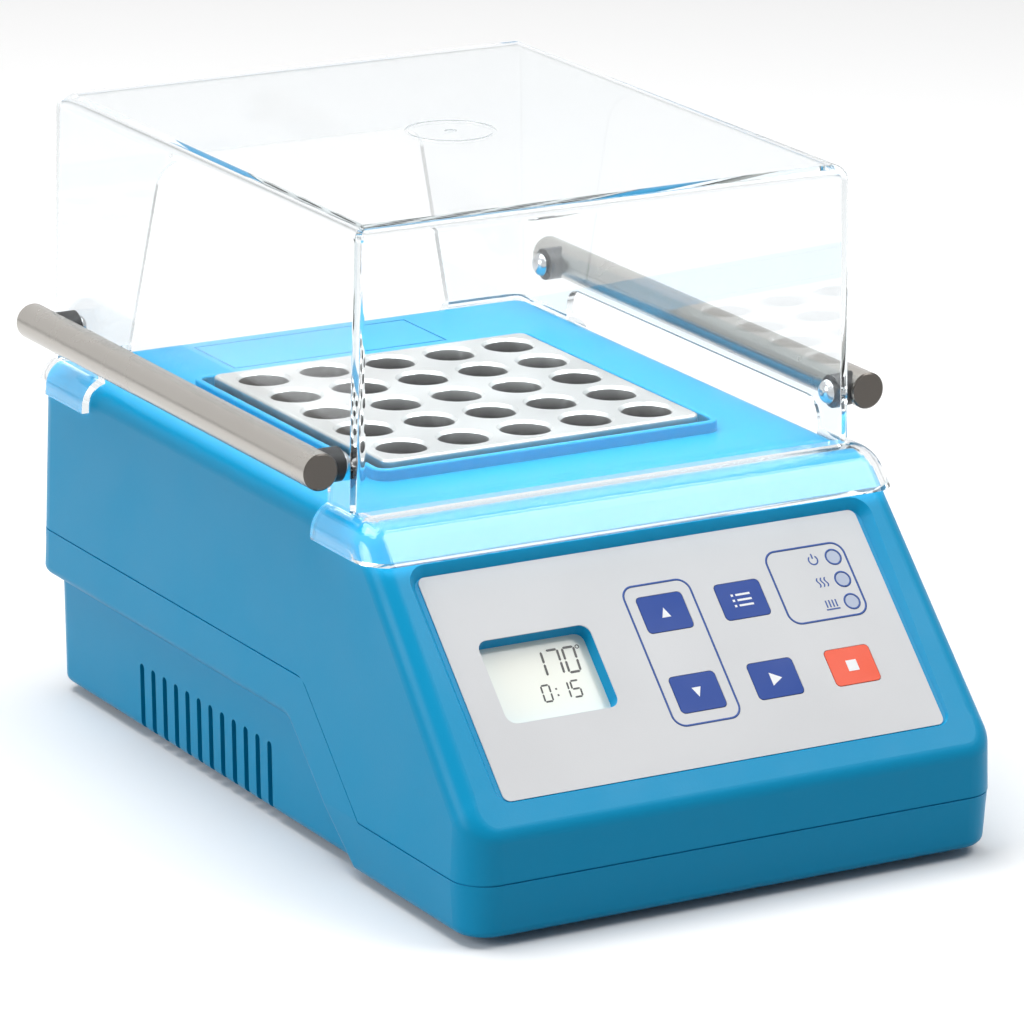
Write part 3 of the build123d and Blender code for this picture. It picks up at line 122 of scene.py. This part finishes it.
camera_turn = radians(-29.722)
camera_rise = radians(16.625)
camera_roll = radians(0.448)
camera_distance = 2.08287
camera_aim = Vector((0, -0.0078, 0.0882))
lens_pixels = 6450.6
picture_pixels = 1024
back = Vector((
    sin(camera_turn) * cos(camera_rise),
    -cos(camera_turn) * cos(camera_rise),
    sin(camera_rise),
))
level_right = (-back).cross(Vector((0, 0, 1))).normalized()
level_up = level_right.cross(-back)
right = cos(camera_roll) * level_right + sin(camera_roll) * level_up
up = -sin(camera_roll) * level_right + cos(camera_roll) * level_up
lens = bpy.data.cameras.new("camera")
lens.sensor_width = 36.0
lens.lens = lens_pixels * lens.sensor_width / picture_pixels
lens.clip_start = 0.1
lens.clip_end = 50.0
camera = bpy.data.objects.new("camera", lens)
scene.collection.objects.link(camera)
camera.matrix_world = Matrix.Translation(camera_aim + camera_distance * back) @ Matrix(
    (right, up, back)).transposed().to_4x4()
scene.camera = camera

# The housing: two shells moulded in blue ABS with a fine satin texture from the mould. Four screws
# from below hold them together.


def grain_group():
    """Fine bumps and uneven gloss, as a mould's texture or handling leaves them on a surface."""
    group = bpy.data.node_groups.new("surface_grain", "ShaderNodeTree")
    defaults = (("Scale", 900.0), ("Depth", 0.1), ("Gloss Low", 0.3), ("Gloss High", 0.4))
    for name, default in defaults:
        socket = group.interface.new_socket(name, in_out="INPUT", socket_type="NodeSocketFloat")
        socket.default_value = default
    group.interface.new_socket("Roughness", in_out="OUTPUT", socket_type="NodeSocketFloat")
    group.interface.new_socket("Normal", in_out="OUTPUT", socket_type="NodeSocketVector")
    given = group.nodes.new("NodeGroupInput")
    out = group.nodes.new("NodeGroupOutput")
    place = group.nodes.new("ShaderNodeTexCoord")
    fine = group.nodes.new("ShaderNodeTexNoise")
    fine.inputs["Detail"].default_value = 3.0
    group.links.new(place.outputs["Object"], fine.inputs["Vector"])
    group.links.new(given.outputs["Scale"], fine.inputs["Scale"])
    bump = group.nodes.new("ShaderNodeBump")
    bump.inputs["Distance"].default_value = 0.0002
    group.links.new(given.outputs["Depth"], bump.inputs["Strength"])
    group.links.new(fine.outputs["Fac"], bump.inputs["Height"])
    group.links.new(bump.outputs["Normal"], out.inputs["Normal"])
    patches = group.nodes.new("ShaderNodeTexNoise")
    patches.inputs["Scale"].default_value = 40.0
    patches.inputs["Detail"].default_value = 5.0
    group.links.new(place.outputs["Object"], patches.inputs["Vector"])
    spread = group.nodes.new("ShaderNodeMapRange")
    spread.inputs["From Min"].default_value = 0.35
    spread.inputs["From Max"].default_value = 0.65
    group.links.new(patches.outputs["Fac"], spread.inputs["Value"])
    group.links.new(given.outputs["Gloss Low"], spread.inputs["To Min"])
    group.links.new(given.outputs["Gloss High"], spread.inputs["To Max"])
    group.links.new(spread.outputs[0], out.inputs["Roughness"])
    return group


surface_grain = grain_group()


def tinted(tree, color, darker, scale):
    """A colour that drifts a little towards a darker one over the surface."""
    place = tree.nodes.new("ShaderNodeTexCoord")
    clouds = tree.nodes.new("ShaderNodeTexNoise")
    clouds.inputs["Scale"].default_value = scale
    tree.links.new(place.outputs["Object"], clouds.inputs["Vector"])
    mix = tree.nodes.new("ShaderNodeMix")
    mix.data_type = "RGBA"
    mix.inputs[6].default_value = color
    mix.inputs[7].default_value = darker
    tree.links.new(clouds.outputs["Fac"], mix.inputs[0])
    return mix.outputs[2]


def finish(name, color, gloss, grain=(900.0, 0.1), metal=0.0, drift=0.9, drift_scale=12.0,
           sheen=0.5):
    """A material with a slightly uneven colour, an uneven gloss and a fine grain."""
    made = bpy.data.materials.new(name)
    made.use_nodes = True
    tree = made.node_tree
    shader = tree.nodes["Principled BSDF"]
    shader.inputs["Metallic"].default_value = metal
    shader.inputs["Specular IOR Level"].default_value = sheen
    darker = [c * drift for c in color[:3]] + [1.0]
    tree.links.new(tinted(tree, color, darker, drift_scale), shader.inputs["Base Color"])
    texture = tree.nodes.new("ShaderNodeGroup")
    texture.node_tree = surface_grain
    texture.inputs["Scale"].default_value = grain[0]
    texture.inputs["Depth"].default_value = grain[1]
    texture.inputs["Gloss Low"].default_value = gloss[0]
    texture.inputs["Gloss High"].default_value = gloss[1]
    tree.links.new(texture.outputs["Roughness"], shader.inputs["Roughness"])
    tree.links.new(texture.outputs["Normal"], shader.inputs["Normal"])
    return made


def paint(material, *names):
    """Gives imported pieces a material."""
    for name in names:
        mesh = nodes[name].data
        mesh.materials.clear()
        mesh.materials.append(material)


shell_ior = 1.36
shell_blue = finish("shell_blue", srgb(0, 152, 202), (0.30, 0.38), grain=(1400.0, 0.12),
                    drift=0.96, sheen=0.3)
shell_blue.node_tree.nodes["Principled BSDF"].inputs["IOR"].default_value = shell_ior
paint(shell_blue, "upper_housing", "lower_housing")
zinc = finish("zinc_plate", srgb(176, 178, 176), (0.25, 0.4), grain=(600.0, 0.1), metal=1.0)
paint(zinc, "housing_screws")

# Feet: four black rubber feet, pressed through the floor of the lower shell. The part stands on
# them, and only one shows from the front.

rubber = finish("foot_rubber", srgb(24, 24, 25), (0.7, 0.85), grain=(500.0, 0.3))
paint(rubber, "feet")

# The heater: an aluminium block with 25 drilled wells, sawn and milled on top, in a tray of mineral
# wool. A dark silicone frame closes the gap round it.


def milled_aluminium():
    """Aluminium with fine milling lines along X, a soft sheen and painted shade below the top face.
    """
    made = finish("milled_aluminium", srgb(228, 229, 228), (0.30, 0.42), grain=(300.0, 0.05),
                  metal=1.0, drift=0.86)
    tree = made.node_tree
    shader = tree.nodes["Principled BSDF"]
    place = tree.nodes.new("ShaderNodeTexCoord")
    stretch = tree.nodes.new("ShaderNodeMapping")
    stretch.inputs["Scale"].default_value = (12.0, 900.0, 60.0)
    lines = tree.nodes.new("ShaderNodeTexNoise")
    lines.inputs["Scale"].default_value = 1.0
    lines.inputs["Detail"].default_value = 4.0
    bump = tree.nodes.new("ShaderNodeBump")
    bump.inputs["Strength"].default_value = 0.25
    bump.inputs["Distance"].default_value = 0.0001
    tree.links.new(place.outputs["Object"], stretch.inputs["Vector"])
    tree.links.new(stretch.outputs["Vector"], lines.inputs["Vector"])
    tree.links.new(lines.outputs["Fac"], bump.inputs["Height"])
    tree.links.new(bump.outputs["Normal"], shader.inputs["Normal"])
    # Painted shade: below the top face the colour darkens towards a near black one, so the wells
    # look deep and shaded.
    height = tree.nodes.new("ShaderNodeSeparateXYZ")
    deep = tree.nodes.new("ShaderNodeMapRange")
    deep.inputs["From Min"].default_value = bore_full_shade_height
    deep.inputs["From Max"].default_value = bore_shade_start_height
    tree.links.new(place.outputs["Object"], height.inputs[0])
    tree.links.new(height.outputs["Z"], deep.inputs["Value"])
    shade = tree.nodes.new("ShaderNodeMix")
    shade.data_type = "RGBA"
    shade.inputs[6].default_value = bore_painted_shade
    tree.links.new(deep.outputs[0], shade.inputs[0])
    tree.links.new(shader.inputs["Base Color"].links[0].from_socket, shade.inputs[7])
    tree.links.new(shade.outputs[2], shader.inputs["Base Color"])
    return made


block_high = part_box("heater_block")[1].z
# Painted shade in the wells: the heights over which the block's colour goes down to a dark shade
# colour.
bore_shade_start_height = block_high - 0.0012
bore_full_shade_height = block_high - 0.005
bore_painted_shade = srgb(28, 27, 26)
aluminium = milled_aluminium()
paint(aluminium, "heater_block", "triac_heatsink")
silicone = finish("silicone", srgb(40, 41, 42), (0.5, 0.65), grain=(500.0, 0.1))
paint(silicone, "block_seal")
sheet_steel = finish("sheet_steel", srgb(190, 191, 192), (0.3, 0.45), grain=(200.0, 0.08),
                     metal=1.0)
paint(sheet_steel, "clamp_plate", "heat_shield", "block_spacers", "temperature_probe",
      "display_frame")
paint(zinc, "block_screws", "shield_screws")
wool = finish("mineral_wool", srgb(214, 205, 176), (0.9, 1.0), grain=(260.0, 0.9))
paint(wool, "insulation")
mica = finish("mica", srgb(186, 160, 118), (0.5, 0.7), grain=(160.0, 0.2))
paint(mica, "plate_heater")
paint(finish("cutout_case", srgb(150, 152, 155), (0.3, 0.4)), "thermal_cutout")

# The control panel: a pale grey printed film in the slope's recess. Blue lines frame the two arrow
# keys and the lamps.

film_low, film_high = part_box("panel_film")
panel_tilt = radians(44.6)
film_thickness = 0.0004
panel_normal = Vector((0, -sin(panel_tilt), cos(panel_tilt)))
panel_up = Vector((0, cos(panel_tilt), sin(panel_tilt)))
panel_middle = (film_low + film_high) / 2 + panel_normal * film_thickness / 2
panel_matrix = Matrix.Translation(panel_middle) @ Matrix(
    (Vector((1, 0, 0)), panel_up, panel_normal)).transposed().to_4x4()


def on_panel(node):
    """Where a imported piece's middle lies on the panel: to the right and up the slope."""
    low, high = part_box(node)
    away = (low + high) / 2 - panel_middle
    return away.x, away.dot(panel_up)


def grown(name, build):
    """A plain mesh object from a Geometry Nodes tree that is evaluated on an empty mesh."""
    holder = bpy.data.objects.new(name + "_source", bpy.data.meshes.new(name + "_source"))
    scene.collection.objects.link(holder)
    modifier = holder.modifiers.new("shape", "NODES")
    build(modifier)
    bpy.context.view_layer.update()
    evaluated = holder.evaluated_get(bpy.context.evaluated_depsgraph_get())
    mesh = bpy.data.meshes.new_from_object(evaluated)
    mesh.name = name
    holder.modifiers.remove(modifier)
    bpy.data.objects.remove(holder)
    made = bpy.data.objects.new(name, mesh)
    scene.collection.objects.link(made)
    return made


def set_input(modifier, tree, name, value):
    """Sets a Geometry Nodes input of a modifier by its socket's identifier."""
    for item in tree.interface.items_tree:
        if item.item_type == "SOCKET" and item.in_out == "INPUT" and item.name == name:
            modifier[item.identifier] = value


print_height = 0.00005
corner_points = 10
film_ink = finish("film_ink", srgb(38, 78, 152), (0.45, 0.55), grain=(900.0, 0.02))


def outline_tree():
    """A printed line round a rectangle with rounded corners, with a real thickness."""
    tree = bpy.data.node_groups.new("printed_outline", "GeometryNodeTree")
    for name, default in (("Width", 0.02), ("Height", 0.02), ("Corner", 0.004), ("Line", 0.0007)):
        socket = tree.interface.new_socket(name, in_out="INPUT", socket_type="NodeSocketFloat")
        socket.default_value = default
    tree.interface.new_socket("Ink", in_out="INPUT", socket_type="NodeSocketMaterial")
    tree.interface.new_socket("Geometry", in_out="OUTPUT", socket_type="NodeSocketGeometry")
    given = tree.nodes.new("NodeGroupInput")
    out = tree.nodes.new("NodeGroupOutput")
    path = tree.nodes.new("GeometryNodeCurvePrimitiveQuadrilateral")
    tree.links.new(given.outputs["Width"], path.inputs["Width"])
    tree.links.new(given.outputs["Height"], path.inputs["Height"])
    corner = tree.nodes.new("GeometryNodeFilletCurve")
    corner.mode = "POLY"
    corner.inputs["Count"].default_value = corner_points
    tree.links.new(path.outputs[0], corner.inputs["Curve"])
    tree.links.new(given.outputs["Corner"], corner.inputs["Radius"])
    across = tree.nodes.new("GeometryNodeCurvePrimitiveQuadrilateral")
    across.inputs["Height"].default_value = print_height
    tree.links.new(given.outputs["Line"], across.inputs["Width"])
    line = tree.nodes.new("GeometryNodeCurveToMesh")
    tree.links.new(corner.outputs["Curve"], line.inputs["Curve"])
    tree.links.new(across.outputs[0], line.inputs["Profile Curve"])
    real = tree.nodes.new("GeometryNodeRealizeInstances")
    inked = tree.nodes.new("GeometryNodeSetMaterial")
    tree.links.new(line.outputs[0], real.inputs[0])
    tree.links.new(real.outputs[0], inked.inputs["Geometry"])
    tree.links.new(given.outputs["Ink"], inked.inputs["Material"])
    tree.links.new(inked.outputs[0], out.inputs[0])
    return tree


outline = outline_tree()


def printed_outline(name, x, y, width, height, corner, line):
    """One printed outline on the film, at a place on the panel."""
    def build(modifier):
        modifier.node_group = outline
        values = (("Width", width), ("Height", height), ("Corner", corner), ("Line", line))
        for key, value in values:
            set_input(modifier, outline, key, value)
        set_input(modifier, outline, "Ink", film_ink)
    piece = grown(name, build)
    piece.data.transform(panel_matrix @ Matrix.Translation((x, y, print_height / 2)))
    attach(piece, "housing")


film_paint = finish("panel_film", srgb(212, 213, 215), (0.5, 0.6), grain=(2600.0, 0.12),
                    drift=0.98)
paint(film_paint, "panel_film")
up_x, up_y = on_panel("up_key")
down_x, down_y = on_panel("down_key")
program_x, program_y = on_panel("program_key")
lamp_x, lamp_y = on_panel("status_lamps")
lamp_pitch = 0.00815
frame_corner = 0.0042
frame_line = 0.0007
arrow_frame_width = 0.0240
arrow_frame_height = 0.0498
lamp_frame_width = 0.0287
lamp_frame_height = 0.0262
lamp_frame_x = 0.05515
lamp_frame_y = lamp_y + 0.0001
ring_width = 0.0053
ring_line = 0.0006
printed_outline("arrow_key_outline", (up_x + down_x) / 2, (up_y + down_y) / 2, arrow_frame_width,
                arrow_frame_height, frame_corner, frame_line)
printed_outline("lamp_outline", lamp_frame_x, lamp_frame_y, lamp_frame_width, lamp_frame_height,
                frame_corner, frame_line)
for index in range(3):
    printed_outline("lamp_ring_%d" % (index + 1), lamp_x, lamp_y + (index - 1) * lamp_pitch,
                    ring_width, ring_width, ring_width / 2, ring_line)

# Keys: blue and orange-red caps, almost flush with the film, with plain marks for what they do:
# arrows, a list, a triangle for start and a square for stop.

mark_white = finish("mark_white", srgb(244, 246, 248), (0.45, 0.55), grain=(900.0, 0.02))
key_blue = finish("key_blue", srgb(6, 62, 148), (0.42, 0.5), grain=(2200.0, 0.1), drift=0.96,
                  sheen=0.3)
key_orange = finish("key_orange", srgb(238, 76, 28), (0.42, 0.5), grain=(2200.0, 0.1),
                    drift=0.96)
paint(key_blue, "up_key", "down_key", "program_key", "start_key")
paint(key_orange, "stop_key")
key_proud = 0.0001


def printed_shape(name, outline_points, node, body, material, shift=(0.0, 0.0),
                  lift=key_proud):
    """A flat printed mark with a real thickness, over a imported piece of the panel."""
    mesh = bpy.data.meshes.new(name)
    bm = bmesh.new()
    for points in outline_points:
        bottom = [bm.verts.new((x, y, 0.0)) for x, y in points]
        face = bm.faces.new(bottom)
        top = bmesh.ops.extrude_face_region(bm, geom=[face])
        moved = [item for item in top["geom"] if isinstance(item, bmesh.types.BMVert)]
        bmesh.ops.translate(bm, verts=moved, vec=(0, 0, print_height))
    bmesh.ops.recalc_face_normals(bm, faces=bm.faces)
    bm.to_mesh(mesh)
    bm.free()
    x, y = on_panel(node)
    mesh.transform(panel_matrix @ Matrix.Translation((x + shift[0], y + shift[1], lift)))
    mesh.materials.append(material)
    piece = bpy.data.objects.new(name, mesh)
    scene.collection.objects.link(piece)
    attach(piece, body)


def bar_points(x, y, width, height):
    """The corners of an upright rectangle about a middle point."""
    return [(x - width / 2, y - height / 2), (x + width / 2, y - height / 2),
            (x + width / 2, y + height / 2), (x - width / 2, y + height / 2)]


arrow_half = 0.0016
arrow_high = 0.0034
arrow_up = [(-arrow_half, -arrow_high / 2), (arrow_half, -arrow_high / 2), (0, arrow_high / 2)]
arrow_down = [(arrow_half, arrow_high / 2), (-arrow_half, arrow_high / 2), (0, -arrow_high / 2)]
list_step = 0.0019
list_rows = (list_step, 0.0, -list_step)
list_lines = [bar_points(0.0008, y, 0.0052, 0.0007) for y in list_rows]
list_dots = [bar_points(-0.0031, y, 0.0008, 0.0008) for y in list_rows]
play_back = -0.0016
play_tip = 0.0024
play_half = 0.0023
play = [(play_back, -play_half), (play_tip, 0.0), (play_back, play_half)]
square_side = 0.0038
for name, shape in (
    ("up", [arrow_up]),
    ("down", [arrow_down]),
    ("program", list_lines + list_dots),
    ("start", [play]),
    ("stop", [bar_points(0, 0, square_side, square_side)]),
):
    printed_shape(name + "_mark", shape, name + "_key", name + "_key", mark_white)

# Status lamps: three frosted lenses in line, and a small printed mark beside each one: a power
# sign, three wavy lines for a hot block and a coil for heating.

lamp_lens = finish("lamp_lens", srgb(160, 172, 196), (0.25, 0.35), grain=(700.0, 0.1), drift=0.92)
paint(lamp_lens, "status_lamps")
lamp_mark_shift = -0.0075


def ring_points(radius, start, end, width, steps):
    """A band that follows an arc, as quads."""
    quads = []
    for step in range(steps):
        a = start + (end - start) * step / steps
        b = start + (end - start) * (step + 1) / steps
        inner, outer = radius - width / 2, radius + width / 2
        quads.append([(inner * cos(a), inner * sin(a)), (outer * cos(a), outer * sin(a)),
                      (outer * cos(b), outer * sin(b)), (inner * cos(b), inner * sin(b))])
    return quads


thin_line = 0.0005
power_radius = 0.0016
power_steps = 14
power_mark = ring_points(power_radius, radians(130), radians(410), thin_line, power_steps)
power_mark += [bar_points(0, 0.0014, thin_line, 0.0018)]

wave_half = 0.0017
wave_steps = 10
wave_sway = 0.0004
wave_columns = (-0.0014, 0.0, 0.0014)
hot_mark = []
for column in wave_columns:
    for step in range(wave_steps):
        low = -wave_half + 2 * wave_half * step / wave_steps
        high = -wave_half + 2 * wave_half * (step + 1) / wave_steps
        x0 = column + wave_sway * sin(2 * pi * step / wave_steps)
        x1 = column + wave_sway * sin(2 * pi * (step + 1) / wave_steps)
        hot_mark.append([(x0 - thin_line / 2, low), (x0 + thin_line / 2, low),
                         (x1 + thin_line / 2, high), (x1 - thin_line / 2, high)])

coil_width = 0.005
tooth_step = 0.0012
tooth_high = 0.0026
heating_mark = [bar_points(0, -0.0016, coil_width, thin_line)]
for tooth in range(4):
    heating_mark.append(bar_points((tooth - 1.5) * tooth_step, 0.0004, thin_line, tooth_high))

lamp_marks = (("power", power_mark, 1), ("hot", hot_mark, 0), ("heating", heating_mark, -1))
for name, shape, row in lamp_marks:
    printed_shape(name + "_mark", shape, "status_lamps", "housing", film_ink,
                  (lamp_mark_shift, row * lamp_pitch), 0.0)

# Display: a pale grey-green liquid crystal glass at the bottom of its window, showing a temperature
# of 170 and a time of 0:15 in seven-bar figures.

display_paint = finish("display_glass", srgb(236, 238, 226), (0.12, 0.18), grain=(200.0, 0.01),
                       drift=0.97)
paint(display_paint, "display_glass")
segment_ink = finish("segment_ink", srgb(30, 33, 32), (0.3, 0.4), grain=(900.0, 0.02))
glass_low, glass_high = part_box("display_glass")
glass_thickness = 0.002
glass_middle = (glass_low + glass_high) / 2
glass_depth = (glass_middle - panel_middle).dot(panel_normal) + glass_thickness / 2
segments_lit = {"0": "abcdef", "1": "bc", "5": "afgcd", "7": "abc"}


def figure_bars(figure, x, y, width, height, stroke):
    """The lit bars of one seven-bar figure, as pointed hexagons, leaning a little."""
    gap = stroke * 0.15
    lean = 0.07
    half = stroke / 2
    bars = []

    def level(middle_x, middle_y, length):
        reach = length / 2 - gap
        return [(middle_x - reach, middle_y), (middle_x - reach + half, middle_y - half),
                (middle_x + reach - half, middle_y - half), (middle_x + reach, middle_y),
                (middle_x + reach - half, middle_y + half),
                (middle_x - reach + half, middle_y + half)]

    def upright(middle_x, middle_y, length):
        reach = length / 2 - gap
        return [(middle_x, middle_y - reach), (middle_x + half, middle_y - reach + half),
                (middle_x + half, middle_y + reach - half), (middle_x, middle_y + reach),
                (middle_x - half, middle_y + reach - half),
                (middle_x - half, middle_y - reach + half)]

    side, row, tall = width / 2, height / 4, height / 2
    places = {
        "a": level(0, tall, width), "g": level(0, 0, width), "d": level(0, -tall, width),
        "b": upright(side, row, tall), "c": upright(side, -row, tall),
        "f": upright(-side, row, tall), "e": upright(-side, -row, tall),
    }
    for letter in segments_lit[figure]:
        bars.append([(x + px + lean * py, y + py) for px, py in places[letter]])
    return bars


big_first, big_step, big_y = 0.0008, 0.0058, 0.0058
big_width, big_height, big_stroke = 0.0040, 0.0086, 0.0008
small_y, small_width, small_height, small_stroke = -0.0042, 0.0028, 0.0056, 0.0006
colon_x, colon_rows = 0.0034, (-0.0032, -0.0054)
degree_x, degree_y, degree_radius, degree_line, degree_steps = 0.0160, 0.0098, 0.0006, 0.0003, 12
figures = []
for index, figure in enumerate("170"):
    figures += figure_bars(figure, big_first + big_step * index, big_y, big_width, big_height,
                           big_stroke)
for x, figure in ((-0.0002, "0"), (0.0062, "1"), (0.0102, "5")):
    figures += figure_bars(figure, x, small_y, small_width, small_height, small_stroke)
figures += [bar_points(colon_x, y, small_stroke, small_stroke) for y in colon_rows]
for quad in ring_points(degree_radius, 0, 2 * pi, degree_line, degree_steps):
    figures.append([(px + degree_x, py + degree_y) for px, py in quad])
printed_shape("display_figures", figures, "display_glass", "housing", segment_ink,
              (0.0, 0.0), glass_depth)

# The cover: clear polished plastic, 2.6 mm thick, lifted off by its two turned steel bars. Each bar
# stands on two black spacers, held by dome-head screws from inside.

bounces_in_wall = 4.5
clear_ior = 1.49
clear_roughness = 0.015


def clear_plastic():
    """Clear plastic that lets lamp light through, and light that is caught between its faces."""
    made = bpy.data.materials.new("clear_plastic")
    made.use_nodes = True
    tree = made.node_tree
    shader = tree.nodes["Principled BSDF"]
    shader.inputs["Base Color"].default_value = srgb(250, 252, 253)
    shader.inputs["Roughness"].default_value = clear_roughness
    shader.inputs["IOR"].default_value = clear_ior
    shader.inputs["Transmission Weight"].default_value = 1.0
    path = tree.nodes.new("ShaderNodeLightPath")
    trapped = tree.nodes.new("ShaderNodeMath")
    trapped.operation = "GREATER_THAN"
    trapped.inputs[1].default_value = bounces_in_wall
    free = tree.nodes.new("ShaderNodeMath")
    free.operation = "MAXIMUM"
    tree.links.new(path.outputs["Ray Depth"], trapped.inputs[0])
    tree.links.new(trapped.outputs[0], free.inputs[0])
    tree.links.new(path.outputs["Is Shadow Ray"], free.inputs[1])
    through = tree.nodes.new("ShaderNodeBsdfTransparent")
    through.inputs["Color"].default_value = srgb(246, 249, 250)
    either = tree.nodes.new("ShaderNodeMixShader")
    tree.links.new(free.outputs[0], either.inputs[0])
    tree.links.new(shader.outputs[0], either.inputs[1])
    tree.links.new(through.outputs[0], either.inputs[2])
    tree.links.new(either.outputs[0], tree.nodes["Material Output"].inputs["Surface"])
    return made


paint(clear_plastic(), "cover_shell")
# Painted shade: faces that look along the bar get a dark colour.
end_face_turn = 0.6
end_face_painted_shade = srgb(92, 88, 84)


def turned_steel():
    """Stainless steel turned on a lathe: fine rings round the bar, and painted shade on the end
    faces.
    """
    made = finish("turned_steel", srgb(182, 178, 172), (0.2, 0.28), grain=(300.0, 0.05), metal=1.0,
                  drift=0.9)
    tree = made.node_tree
    shader = tree.nodes["Principled BSDF"]
    place = tree.nodes.new("ShaderNodeTexCoord")
    stretch = tree.nodes.new("ShaderNodeMapping")
    stretch.inputs["Scale"].default_value = (30.0, 2600.0, 30.0)
    rings = tree.nodes.new("ShaderNodeTexNoise")
    rings.inputs["Scale"].default_value = 1.0
    rings.inputs["Detail"].default_value = 3.0
    bump = tree.nodes.new("ShaderNodeBump")
    bump.inputs["Strength"].default_value = 0.35
    bump.inputs["Distance"].default_value = 0.00008
    tree.links.new(place.outputs["Object"], stretch.inputs["Vector"])
    tree.links.new(stretch.outputs["Vector"], rings.inputs["Vector"])
    tree.links.new(rings.outputs["Fac"], bump.inputs["Height"])
    tree.links.new(bump.outputs["Normal"], shader.inputs["Normal"])
    # Painted shade on the end faces, picked out by the direction they face.
    facing = tree.nodes.new("ShaderNodeNewGeometry")
    parts = tree.nodes.new("ShaderNodeSeparateXYZ")
    along = tree.nodes.new("ShaderNodeMath")
    along.operation = "ABSOLUTE"
    end_face = tree.nodes.new("ShaderNodeMath")
    end_face.operation = "GREATER_THAN"
    end_face.inputs[1].default_value = end_face_turn
    shade = tree.nodes.new("ShaderNodeMix")
    shade.data_type = "RGBA"
    shade.inputs[7].default_value = end_face_painted_shade
    tree.links.new(facing.outputs["True Normal"], parts.inputs[0])
    tree.links.new(parts.outputs["Y"], along.inputs[0])
    tree.links.new(along.outputs[0], end_face.inputs[0])
    tree.links.new(end_face.outputs[0], shade.inputs[0])
    tree.links.new(shader.inputs["Base Color"].links[0].from_socket, shade.inputs[6])
    tree.links.new(shade.outputs[2], shader.inputs["Base Color"])
    return made


paint(turned_steel(), "left_bar", "right_bar")
black_plastic = finish("black_plastic", srgb(26, 26, 28), (0.35, 0.5), grain=(900.0, 0.15))
paint(black_plastic, "bar_standoffs")
polished_steel = finish("polished_steel", srgb(205, 206, 208), (0.12, 0.2), grain=(300.0, 0.03),
                        metal=1.0)
paint(polished_steel, "bar_screws")

# The rear wall: a mains inlet with its fuse drawer and a rocker switch, in black plastic. The
# inlet's contacts are plated.

paint(black_plastic, "inlet_body", "fuse_drawer", "rocker_frame", "rocker")
plated = finish("plated_contacts", srgb(198, 176, 120), (0.2, 0.3), metal=1.0)
paint(plated, "inlet_contacts")
paint(zinc, "inlet_screws")
paint(finish("fuse_body", srgb(220, 222, 220), (0.1, 0.2)), "fuse")

# Inside: green circuit boards with their parts. They are seen only where the housing is taken
# off, so their finishes are plain.

board_green = finish("board_green", srgb(30, 96, 52), (0.3, 0.45), grain=(300.0, 0.1))
paint(board_green, "control_board", "power_board")
paint(zinc, "control_board_screws", "power_board_screws")
grey_case = finish("grey_case", srgb(140, 142, 146), (0.35, 0.5))
paint(grey_case, "ribbon_cable", "relay", "filter_capacitor", "terminal_strip")
paint(finish("core_plates", srgb(88, 88, 92), (0.4, 0.6), metal=1.0), "transformer")
paint(black_plastic, "triac", "key_switches")
